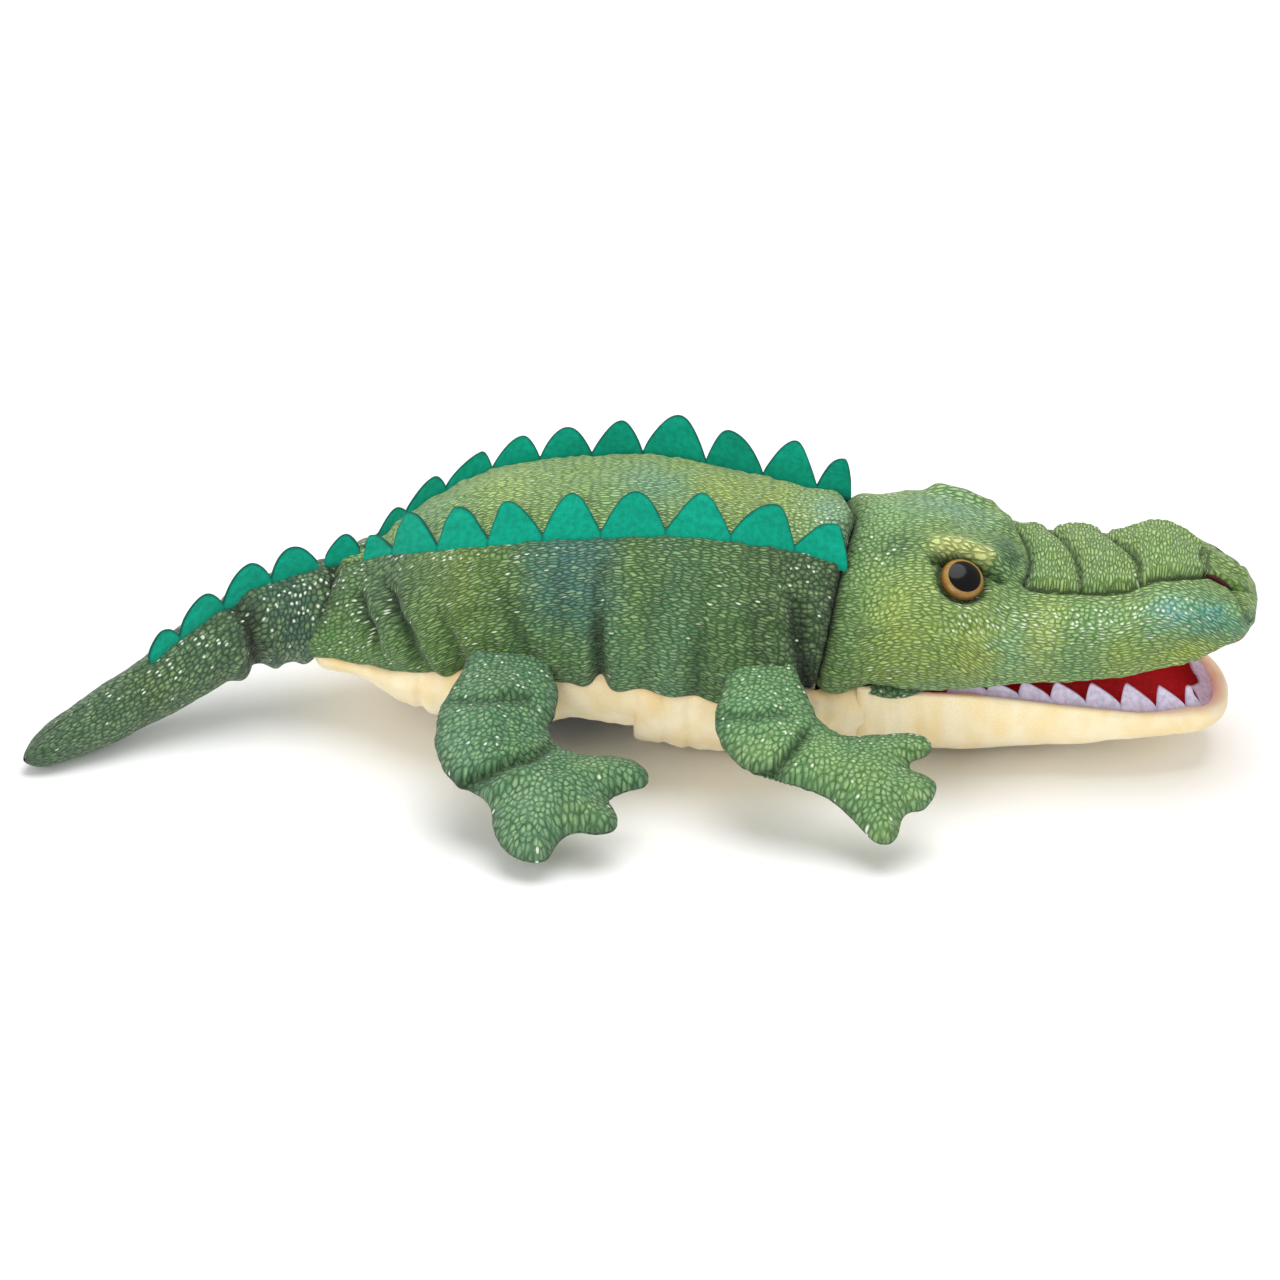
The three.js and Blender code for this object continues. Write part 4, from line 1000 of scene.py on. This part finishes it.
def head_skin():
    rows, cols = 270, 250
    u, w = lattice(np.linspace(0, 1, rows), np.linspace(-1, 1, cols))
    angle = w * LIP
    start = neck_seam(angle)
    x = start + (249 - start) * (1 - (1 - u) ** 1.45)
    turn = np.abs(angle)
    base = head_point(x, angle)
    centre = np.stack([x - 6, 0 * x, 58 + 0 * x], -1)
    out = normals(base, base - centre)
    arc = around(base)
    relief, dark, rolled = head_relief(x, angle, 111)
    neck = x - start
    lip_distance = (LIP - turn) / 40 * (head_wide(x) - head_lip(x))
    d = relief + 0.45 * waves(112, x, arc, 26) + 0.2 * waves(113, x, arc, 9)
    d += 0.9 * ripples(114, arc, 7, 5) * fade(neck, 10)
    d += 1.4 * bell(neck, 9, 6) - turned(neck, 7.0, 7.5)
    d += 0.35 * ripples(115, x, 7, 5) * fade(lip_distance, 4) - turned(lip_distance, 3.4, 3.2)
    d *= smooth(249, 245, x) * 0.9 + 0.1
    down = unit(np.gradient(base, axis=1) * np.sign(angle)[..., None])
    droop = 2.6 * stroke(x, turn - 2.5, BROW, 3.4, 0.25) * (angle > 0)
    points = base + out * d[..., None] + down * droop[..., None]
    points[-1] = NOSE_TIP
    ground = np.array((146, 168, 104.0))
    tone = ground + 1.45 * (printed(ground, x, angle, HEAD_PATCHES) - ground)
    brow = np.clip(1.3 * stroke(x, turn - 1.5, BROW, 4.6, 0.3), 0, 1)
    brow = (brow * np.where(angle > 0, 0.95, 0.7 * smooth(22, 26, turn)))[..., None]
    tone = tone * (1 - brow) + np.array((208, 206, 142.0)) * brow
    shade = np.clip(dark + 0.9 * fade(neck, 3.5), 0, 1)
    cheek = smooth(40, 50, turn)
    round_cells = np.maximum.reduce([
        smooth(112, 92, x) * smooth(60, 30, turn), 0.75 * cheek * bell(x, 96, 14) * smooth(90, 50, turn),
        0.8 * bell(x, 132, 22) * bell(turn, 66, 11), 0.8 * bell(turn, 56, 12) * smooth(150, 170, x),
    ])
    foil = 0.4 * bell(turn, 62, 12) * smooth(120, 132, x) * smooth(244, 215, x)
    foil = foil + 0.12 * bell(x, 100, 12) * bell(turn, 28, 12) + 0.14 * bell(turn, 85, 10) * bell(x, 96, 10)
    foil = foil + 0.12 * bell(turn, 30, 6) * smooth(160, 168, x) * smooth(228, 214, x)
    cloth = cloth_coordinates(np.where(rolled, arc, x), np.where(rolled, x, arc))
    skin = grid("head_skin", points, SCALES, cloth=cloth, tone=colour(dyed(tone, 1.2, 1.07)), shade=shade,
                stretch=np.clip(1 - round_cells, 0, 1), foil=foil)
    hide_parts("crown_panel", "snout_top_panel", "nose_cap", "cheek_left", "cheek_right",
                "brow_left", "brow_right", "head_stuffing")
    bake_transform(skin)


def on_head(x, angle, lift):
    here, ahead, behind, below, above = (
        head_point(np.array(x + dx), np.array(angle + turn))
        for dx, turn in ((0, 0), (1, 0), (-1, 0), (0, 1), (0, -1)))
    forward, down = ahead - behind, below - above
    out = unit(np.cross(forward, down))
    if out[2] < 0:
        out = -out
    return Vector(here + out * lift), Vector(out)


# A turned piece on the head: radii and heights of its profile, about an axis that points out of the head.
def lathe(name, radii, heights, place, out, material):
    r, z = np.array(radii)[:, None], np.array(heights)[:, None]
    q = np.linspace(0, math.tau, 72, endpoint=False)
    points = np.stack([r * np.cos(q), r * np.sin(q), z + 0 * q], -1)
    turn = Vector((0, 0, 1)).rotation_difference(out).to_matrix()
    world = points @ np.array(turn).T + np.array(place)
    return grid(name, world, material, wrap=True, cloth=points * MM, radius=r / EYE_R + 0 * q)


def eyes():
    for side, sign in (("right", 1), ("left", -1)):
        place, out = on_head(EYE_X, sign * EYE_ANGLE, -EYE_SUNK)
        t = np.linspace(0, 90, 34)
        r = np.concatenate([[2.2, 2.2, 8.6], EYE_R * np.cos(np.radians(t[:-1])), [0.02]])
        z = np.concatenate([[-8, -0.6, -0.6], 1.2 + np.sin(np.radians(t[:-1])) * (EYE_H - 1.2), [EYE_H]])
        dome = lathe(f"eye_dome_{side}", r, z, place, out, EYE)
        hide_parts(f"eye_{side}")
        r, z = [2.4, 7.2, 7.2, 2.4, 2.4], [-7, -7, -5.8, -5.8, -7]
        ring = lathe(f"eye_ring_{side}", r, z, place, out, WASHER)
        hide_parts(f"eye_washer_{side}")
        for obj in (dome, ring):
            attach(obj, "head")


def nostrils():
    s = np.linspace(0, 1, 30)
    x, angle = (np.interp(s, [0, 0.5, 1], values) for values in zip(*SLIT))
    for side, sign in (("right", 1), ("left", -1)):
        line = head_point(x, (angle + FAR_SLIT * (sign < 0)) * sign) - np.array([0.3, 0, 1.3])
        obj = tube(f"nostril_{side}", line, 0.4 + 1.1 * np.sin(np.pi * s) ** 0.6, NOSTRIL, False, edge=0.4)
        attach(obj, "head")


# ---------------------------------------------------------------- mouth
# Where the lower jaw starts, and where its round tip starts and how long that is.
JAW_X, ROUND_X, ROUND_LONG = 88, 226, 15


# The plan of the lower jaw's rim from the right side round the tip to the left: x, y, the way outward and the
# distance along it, at evenly spaced points.
def rim_line(inset, start, count):
    quarter = np.sin(np.linspace(0, np.pi / 2, 26)[1:])
    xs = np.concatenate([np.linspace(start, ROUND_X, 60), ROUND_X + ROUND_LONG * quarter])
    past = np.maximum(xs - ROUND_X, 0)
    ys = jaw_a(np.minimum(xs, ROUND_X)) * np.sqrt(1 - (past / (ROUND_LONG + 0.1)) ** 2)
    side = np.stack([xs, -ys], -1)
    line = np.concatenate([side, (side * [1, -1])[::-1][1:]])
    along = np.gradient(line, axis=0)
    out = unit(np.stack([along[:, 1], -along[:, 0]], -1))
    line = line - out * inset
    length = run_along(line)
    even = np.linspace(0, length[-1], count)
    x, y, out_x, out_y = (np.interp(even, length, values) for values in (*line.T, *out.T))
    return x, y, np.stack([out_x, out_y], -1), even


# The cream skin of the lower jaw: up from the keel to the rim, round the rolled rim, and down inside it.
def jaw_skin(tucks):
    x, y, out, s = rim_line(0, JAW_X, 330)
    keel_x = np.minimum(x, 214 + 12 * (1 - np.exp(-np.maximum(x - 214, 0) / 14)))
    x, y, keel_x, rim, bottom = (v[:, None] for v in (x, y, keel_x, jaw_rim(x), jaw_bottom(keel_x)))
    climb = np.linspace(0, 1, 70)[None]
    reach, drop = np.sin(climb * np.pi / 2), np.cos(climb * np.pi / 2) ** 0.8
    side = np.stack([keel_x + (x - keel_x) * reach, y * reach, rim - drop * (rim - bottom)], -1)
    thick = 1.7 + 1.7 * smooth(200, 236, x)
    turn = np.linspace(0, 205, 18)[None, 1:] * math.pi / 180
    inward = thick * (1 - np.cos(turn))
    roll = np.stack([x - out[:, :1] * inward, y - out[:, 1:] * inward, rim + thick * np.sin(turn)], -1)
    deep = np.linspace(0, 4.5, 6)[None, 1:]
    tucked = roll[:, -1:] - np.stack([0 * deep, 0 * deep, deep], -1)
    points = np.concatenate([side, roll, tucked], 1)
    centre = np.stack([np.minimum(points[..., 0], 222), 0 * points[..., 0], 24 + 0 * points[..., 0]], -1)
    outward = normals(points, points - centre)
    shape = points.shape[:2]
    level = np.broadcast_to(np.arange(shape[1]) / shape[1], shape)
    along = np.broadcast_to(s[:, None], shape)
    q = np.broadcast_to(np.concatenate([climb * 45, 45 + turn * 3, 56 + deep], 1), shape)
    d = 0.5 * waves(131, along, q, 28) + 0.18 * waves(132, along, q, 9)
    neck = points[..., 0] - JAW_X
    d *= smooth(0, 6, q)
    d -= turned(neck, 2.0, 1.0) * (level < 0.78)
    for crease_x, depth, width in ((97, 2.0, 2.2), (104, 1.6, 2.0), (113, 1.3, 2.4), (124, 0.5, 3)):
        d -= depth * bell(points[..., 0] + 0.12 * q - 4, crease_x, width) * smooth(12, 30, q)
    outer = (level < 0.76) * 1.0
    points = points + outward * (d * (0.35 + 0.65 * outer))[..., None]
    points[..., 2] = np.maximum(points[..., 2], FLOOR_GAP)
    shade = np.clip(0.4 * fade(neck, 3) + 0.25 * smooth(0.9, 1.0, level), 0, 1)
    skin = grid("jaw_skin", points, CREAM, cloth=cloth_coordinates(along, q), shade=shade)
    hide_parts("lower_jaw_skin", "throat_panel")
    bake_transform(skin)
    declare_sheet(skin, points)


# x of the valley before each tooth, and the height of each tooth.
TOOTH_VALLEYS = [124, 132, 141, 154, 167, 181.5, 196, 211, 223.5]
TOOTH_HEIGHTS = [1.6, 2.4, 4.4, 5.6, 7.0, 8.2, 9.2, 9.4, 8.6, 7.5]


# Tooth outline: steep at the back, a rounded point, a long slope to the front.
def tooth(t):
    back = np.sin(np.minimum(t / 0.24, 1) * np.pi / 2) ** 0.9
    return np.where(t < 0.24, back, np.clip((1 - t) / 0.76, 0, 1) ** 0.68)


def teeth():
    x, y, out, s = rim_line(4.0, 122, 1500)
    middle = s[-1] / 2
    half = s <= middle
    valleys = np.interp(TOOTH_VALLEYS, x[half], s[half])
    valleys = np.concatenate([valleys, [valleys[-1] + 9, middle + 5]])
    u = middle - np.abs(s - middle)
    number = np.clip(np.searchsorted(valleys, u, "right") - 1, 0, len(valleys) - 2)
    t = np.clip((u - valleys[number]) / (valleys[number + 1] - valleys[number]), 0, 1)
    size = np.array(TOOTH_HEIGHTS)[number]
    height = 1.0 + 3.0 * smooth(0, 14, u) + 2.6 * smooth(middle - 30, middle - 8, u) + size * tooth(t)
    low = np.stack([x, y, jaw_rim(x) - 1.5], -1)
    inward = np.concatenate([-out, np.zeros((len(x), 1))], 1)
    forward = unit(np.gradient(low, axis=0)) * np.sign(middle - s)[:, None]
    lean = np.radians(24 + 34 * smooth(middle - 32, middle - 6, u))

    def place(level, face):
        rise = height * level
        bow = 0.7 * np.sin(np.pi * level) + 0.5 * np.sin(number * 2.4) * level * level
        point = low + np.array([0, 0, 1.0]) * (rise * np.cos(lean))[:, None]
        point = point + inward * (rise * np.sin(lean) + bow + face * 0.5)[:, None]
        return point - forward * (0.096 * np.maximum(rise - 3.4, 0))[:, None], rise

    levels = np.linspace(0, 1, 16)
    points, rise = two_faces(levels, place)
    # Painted shade along the cut edge of the teeth.
    slope = np.abs(np.gradient(height, s[1] - s[0]))[:, None]
    edge = 0.45 * bell((height[:, None] - rise) / np.sqrt(1 + slope ** 2), 0, 0.35)
    strip = grid("teeth_felt", points, LILAC, wrap=True, cloth=cloth_coordinates(s[:, None] + 0 * rise, rise),
                 edge=edge, shade=0 * rise)
    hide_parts("tooth_strip")
    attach(strip, "jaw")
    declare_sheet(strip, points[:, :len(levels)])


# One layer of red felt in the mouth.
def mouth_felt(name, x, y, z):
    points = np.stack([x, y, z], -1)
    cloth = grid(name, points, RED, cloth=cloth_coordinates(x, y), edge=0 * x, shade=0 * x)
    return cloth, points


def mouth_linings():
    x, w = lattice(np.linspace(110, 249, 160), np.linspace(-1, 1, 90))
    half = np.maximum(head_a(x) * 0.92 - 1.4, 0.6)
    z = head_lip(x) + 4.1 - 3.0 * np.abs(w) ** 5 + 0.2 * waves(141, x, w * 40, 24)
    upper, upper_points = mouth_felt("upper_lining", x, w * half, z)
    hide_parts("upper_mouth_lining")
    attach(upper, "head")
    x, w = lattice(np.linspace(112, 236.5, 140), np.linspace(-1, 1, 80))
    half = np.maximum(jaw_a(x) - 4.2, 1) * np.sqrt(np.clip(1 - (np.maximum(x - 222, 0) / 15.0) ** 2, 0, 1))
    z = jaw_rim(x) - 1.9 + 0.25 * waves(142, x, w * 40, 24) + 0.8 * np.abs(w) ** 4
    lower, lower_points = mouth_felt("lower_lining", x, w * half, z)
    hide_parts("lower_mouth_lining")
    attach(lower, "jaw")
    t, w = lattice(np.linspace(0, 1, 26), np.linspace(-1, 1, 70))
    z = (head_lip(112.0) + 3.2) * (1 - t) + (jaw_rim(112.0) - 2.0) * t
    hinge, hinge_points = mouth_felt("mouth_corner_fold", 113 - 6 * np.sin(np.pi * t), w * 44, z)
    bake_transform(hinge)
    declare_sheet(upper, upper_points)
    declare_sheet(lower, lower_points)
    declare_sheet(hinge, hinge_points)


# The small gathered tuck where the cheek meets the throat at each corner of the mouth.
def mouth_tucks():
    tucks = []
    for side, sign in (("right", -1), ("left", 1)):
        u, q = lattice(np.linspace(0, 1, 70), np.linspace(-1, 1, 26))
        x = 88 + 27 * u
        a = head_a(x) * 0.93
        swell = np.sin(np.pi * u) ** 0.6
        y = a - 1.4 + 5.0 * swell * np.cos(q * 1.5)
        z = head_lip(x) - 1.6 + 3.2 * u - 0.6 * swell + q * 3.2 * swell + 0.3 * waves(151, x, q * 4, 9)
        points = np.stack([x, sign * y, z], -1)
        tone = np.broadcast_to(np.array((112, 148, 100.0)), x.shape + (3,))
        shade = 0.25 + 0.6 * np.abs(q) ** 3
        obj = grid(f"corner_tuck_{side}", points, SCALES, cloth=cloth_coordinates(x, q * 5),
                   tone=colour(tone), shade=np.clip(shade, 0, 1), stretch=0 * x, foil=0.22 + 0 * x)
        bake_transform(obj)
        tucks.append(obj)
    return tucks


# ---------------------------------------------------------------- legs
# A smooth closed curve through the corners, as evenly numbered points.
def closed_curve(corners, count):
    p = np.asarray(corners, float)
    n = len(p)
    t = np.linspace(0, n, count, endpoint=False)
    i = t.astype(int)
    f = (t - i)[:, None]
    a, b, c, d = p[(i - 1) % n], p[i % n], p[(i + 1) % n], p[(i + 2) % n]
    curve = 2 * b + (c - a) * f + (2 * a - 5 * b + 4 * c - d) * f * f + (3 * b - a - 3 * c + d) * f ** 3
    return curve / 2


# Distance from each point to the nearest edge of a closed outline.
def outline_distance(points, outline):
    best = np.full(len(points), 1e9)
    for a, b in zip(outline, np.roll(outline, -1, 0)):
        ab = b - a
        t = np.clip(((points - a) @ ab) / max(ab @ ab, 1e-9), 0, 1)
        best = np.minimum(best, np.linalg.norm(points - a - t[:, None] * ab, axis=1))
    return best


def vertices_of(mesh):
    return values_of(mesh.vertices, "co", 3).astype(float)


def apply_modifiers(obj):
    graph = bpy.context.evaluated_depsgraph_get()
    mesh = bpy.data.meshes.new_from_object(obj.evaluated_get(graph))
    old = obj.data
    obj.modifiers.clear()
    obj.data = mesh
    bpy.data.meshes.remove(old)


FILL_FRAMES = 20
CLOTH_SETTINGS = {
    "quality": 6, "mass": 0.25, "tension_stiffness": 18, "compression_stiffness": 12, "shear_stiffness": 8,
    "bending_stiffness": 0.4, "use_pressure": True, "vertex_group_mass": "sewn",
}


# Fills a closed cloth form: pressure from inside, no gravity, no point moving further than the limit.
def fill_cloth(obj, pressure, limit, pinned):
    before = vertices_of(obj.data)
    group = obj.vertex_groups.new(name="sewn")
    group.add([int(i) for i in np.flatnonzero(pinned)], 1.0, "REPLACE")
    modifier = obj.modifiers.new("fill", "CLOTH")
    cloth = modifier.settings
    for key, value in CLOTH_SETTINGS.items():
        setattr(cloth, key, value)
    cloth.uniform_pressure_force = pressure
    cloth.effector_weights.gravity = 0
    modifier.collision_settings.use_collision = False
    modifier.collision_settings.use_self_collision = False
    modifier.point_cache.frame_start = 1
    modifier.point_cache.frame_end = FILL_FRAMES
    for step in range(1, FILL_FRAMES + 1):
        bpy.context.scene.frame_set(step)
    graph = bpy.context.evaluated_depsgraph_get()
    after = vertices_of(obj.evaluated_get(graph).data)
    obj.modifiers.clear()
    obj.vertex_groups.clear()
    bpy.context.scene.frame_set(1)
    move = after - before
    far = np.linalg.norm(move, axis=1, keepdims=True)
    move *= np.minimum(1, limit / np.maximum(far, 1e-9))
    obj.data.vertices.foreach_set("co", (before + move).astype(np.float32).ravel())
    obj.data.update()


LEG_PATCHES = {
    "rear": [
        (-15, 5, 9, 12, (122, 172, 136), 0.7), (0, 0, 12, 10, (108, 146, 100), 0.5),
        (10, 30, 12, 10, (104, 146, 92), 0.6),
        (-18, 26, 8, 10, (132, 176, 144), 0.7), (12, 50, 14, 9, (150, 186, 148), 0.7),
        (40, 32, 12, 8, (150, 182, 124), 0.6),
        (36, 52, 12, 8, (138, 168, 112), 0.6), (12, 68, 10, 7, (140, 176, 138), 0.6),
    ],
    "front": [
        (-8, 2, 9, 10, (118, 166, 124), 0.7), (6, 4, 10, 9, (128, 172, 124), 0.5),
        (0, 18, 12, 8, (164, 190, 130), 0.6),
        (26, 20, 12, 10, (150, 180, 116), 0.6), (44, 28, 12, 10, (152, 180, 112), 0.6),
        (62, 14, 10, 8, (164, 192, 124), 0.6),
        (64, 32, 10, 8, (164, 190, 132), 0.6), (52, 48, 9, 8, (156, 182, 116), 0.6),
    ],
}


# The cloth of a leg, flat on its own plane and as thick as its stuffing makes it, in metres.
def leg_mesh(name, leg):
    outline = closed_curve(leg["outline"], 260)
    outline = outline * 0.985 + outline.mean(0) * 0.015
    count = len(outline)
    places = [(x * MM, y * MM, h) for h in (-0.0028, 0.0028) for x, y in outline]
    ring = list(range(count))
    faces = [ring[::-1], [i + count for i in ring]]
    faces += [(i, (i + 1) % count, count + (i + 1) % count, count + i) for i in ring]
    mesh = bpy.data.meshes.new(name)
    mesh.from_pydata(places, [], faces)
    obj = new_object(name, mesh, SCALES)
    remesh = obj.modifiers.new("even", "REMESH")
    remesh.mode = "VOXEL"
    remesh.voxel_size = 0.0021
    apply_modifiers(obj)
    p = vertices_of(obj.data)
    inside = outline_distance(p[:, :2] / MM, outline)
    high = leg["full"] * np.maximum(inside, 0.02) ** 0.6
    flat = 0.72 + 0.28 * smooth(-18, 2, p[:, 1] / MM)
    p[:, 2] = np.clip(p[:, 2] / 0.0026, -1, 1) * np.maximum(high * flat, 0.5) * MM
    obj.data.vertices.foreach_set("co", p.astype(np.float32).ravel())
    obj.data.update()
    fill_cloth(obj, 4.0, 0.005, p[:, 1] / MM < -9)
    return obj, outline


# Creases and prints the filled cloth, and sets it at its hip.
def leg(kind, side, settings):
    sign = 1 if side == "left" else -1
    obj, outline = leg_mesh(f"{kind}_leg_{side}", settings)
    subdivide = obj.modifiers.new("smooth", "SUBSURF")
    subdivide.levels = subdivide.render_levels = 2
    apply_modifiers(obj)
    mesh = obj.data
    p = vertices_of(mesh) / MM
    normal = values_of(mesh.vertices, "normal", 3).astype(float)
    forward, outward, height = p.T
    knee, root = settings["knee"], settings["root"]
    seed = settings["seed"] + (side == "left") * 7
    rim = bell(height, 0, 0.8)
    d = 0.35 * waves(seed, forward, outward, 17) + 0.16 * waves(seed + 1, forward, outward, 7) - 1.0 * rim
    turn = np.arctan2(outward - 20, forward - 10)
    d += 0.55 * ripples(seed + 2, turn * 40, 7, 5) * fade(np.abs(height), 3.2)
    upper = smooth(-1, 3, height)
    knee_crease = stroke(forward, outward, knee, 2.6, 0.2) * upper
    root_crease = stroke(forward, outward, root, 2.6, 0.2)
    d -= 3.0 * knee_crease + 1.8 * root_crease
    d += 1.2 * stroke(forward, outward - 6, knee, 3.6, 0.25) * upper
    d += 1.0 * stroke(forward, outward + 6, knee, 3.6, 0.25) * upper
    p = p + normal * d[:, None]
    forward, outward, height = p.T
    tone = printed(settings["tone"], forward[None], outward[None], LEG_PATCHES[kind])[0]
    # Painted shade: the lower face of the leg, which faces the floor, is made 12% darker.
    tone = tone * (1 - 0.12 * smooth(2, -4, height)[:, None])
    from_edge = outline_distance(p[:, :2], outline)
    shade = 0.65 * rim + 0.85 * knee_crease + 0.6 * root_crease + 0.5 * smooth(6, 0, from_edge)
    foil = 0.02 + 0.4 * (waves(seed + 4, forward, outward, 15) > 1.0) + 0.06 * smooth(14, 2, outward)
    put_attributes(mesh, {
        "cloth": cloth_coordinates(forward, outward + 0.55 * height),
        "tone": colour(dyed(tone, 1.1, settings["gain"])), "shade": np.clip(shade, 0, 1), "foil": foil,
        "stretch": 0.12 + 0.2 * smooth(10, 3, from_edge),
    })
    mesh.polygons.foreach_set("use_smooth", np.ones(len(mesh.polygons), bool))
    slope = math.radians(settings["slope"])
    hip_x, hip_y, hip_z = settings["pivot"]
    world = np.stack([hip_x + forward, sign * (hip_y + outward * math.cos(slope) + height * math.sin(slope)),
                      hip_z - outward * math.sin(slope) + height * math.cos(slope)], -1)
    world[:, 2] = np.maximum(world[:, 2], 0.5)
    mesh.vertices.foreach_set("co", (world * MM).astype(np.float32).ravel())
    if sign < 0:
        mesh.flip_normals()
    mesh.update()
    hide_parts(*(f"{kind}_leg_{part}_{side}" for part in ("top", "sole", "stuffing")))
    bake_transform(obj)


# ---------------------------------------------------------------- the setting
def area_light(name, place, aim, size, power):
    data = bpy.data.lights.new(name, "AREA")
    data.shape = "DISK"
    data.size = size
    data.energy = power
    lamp = bpy.data.objects.new(name, data)
    bpy.context.scene.collection.objects.link(lamp)
    lamp.location = place
    lamp.rotation_mode = "QUATERNION"
    lamp.rotation_quaternion = (Vector(aim) - Vector(place)).to_track_quat("-Z", "Y")


FLOOR_HALF, FLOOR_Z = 6, -0.0005
# Direction from the object to the camera and its roll, in degrees, then its aim and distance, in metres.
AZIMUTH, ELEVATION, ROLL = (math.radians(angle) for angle in (0.5, 30, 2.5))
AIM, DISTANCE, LENS = (-0.0015, -0.004, 0.038), 4.0, 274.3


def setting():
    floor_material = Nodes("pale floor")
    place = floor_material.add("ShaderNodeTexCoord").outputs["Object"]
    grain = floor_material.add("ShaderNodeTexNoise", {"Vector": place, "Scale": 40.0, "Detail": 2.0})
    paint = floor_material.mix(grain.outputs["Fac"], rgba((247, 247, 247)), rgba((250, 250, 250)))
    floor_material.finish(Base_Color=paint, Roughness=0.9, Specular_IOR_Level=0.1)
    mesh = bpy.data.meshes.new("floor")
    corners = [(x * FLOOR_HALF, y * FLOOR_HALF, FLOOR_Z) for x, y in ((-1, -1), (1, -1), (1, 1), (-1, 1))]
    mesh.from_pydata(corners, [], [(0, 1, 2, 3)])
    floor = new_object("floor", mesh, floor_material.material)
    world = bpy.data.worlds.new("studio")
    bpy.context.scene.world = world
    world.use_nodes = True
    background = world.node_tree.nodes["Background"].inputs
    background["Color"].default_value = (1, 1, 1, 1)
    background["Strength"].default_value = 0.62
    area_light("overhead", (0.1, 0.2, 1.5), (0, 0, 0), 1.5, 19)
    area_light("front", (-0.6, -1.5, 0.7), (0, 0, 0.05), 1.0, 9)
    data = bpy.data.cameras.new("camera")
    camera = bpy.data.objects.new("camera", data)
    bpy.context.scene.collection.objects.link(camera)
    level = math.cos(ELEVATION)
    back = Vector((math.sin(AZIMUTH) * level, -math.cos(AZIMUTH) * level, math.sin(ELEVATION)))
    camera.location = Vector(AIM) + back * DISTANCE
    camera.rotation_mode = "QUATERNION"
    camera.rotation_quaternion = (-back).to_track_quat("-Z", "Y") @ Quaternion((0, 0, 1), ROLL)
    data.lens = LENS
    data.sensor_width = 36
    data.clip_end = 20
    bpy.context.scene.camera = camera
    bpy.context.scene.view_settings.view_transform = "Standard"


def repaint(names, material):
    for name in names:
        bpy.data.objects[name].data.materials.clear()
        bpy.data.objects[name].data.materials.append(material)


setting()
for kind, settings in (("rear", REAR_LEG), ("front", FRONT_LEG)):
    for side in ("right", "left"):
        leg(kind, side, settings)
body_skin()
belly()
ridges()
tail_skin()
head_skin()
eyes()
nostrils()
jaw_skin(mouth_tucks())
teeth()
mouth_linings()
repaint(["upper_palate_board", "lower_palate_board"], BOARD)
repaint(["finger_pocket", "thumb_pocket"], LINING)
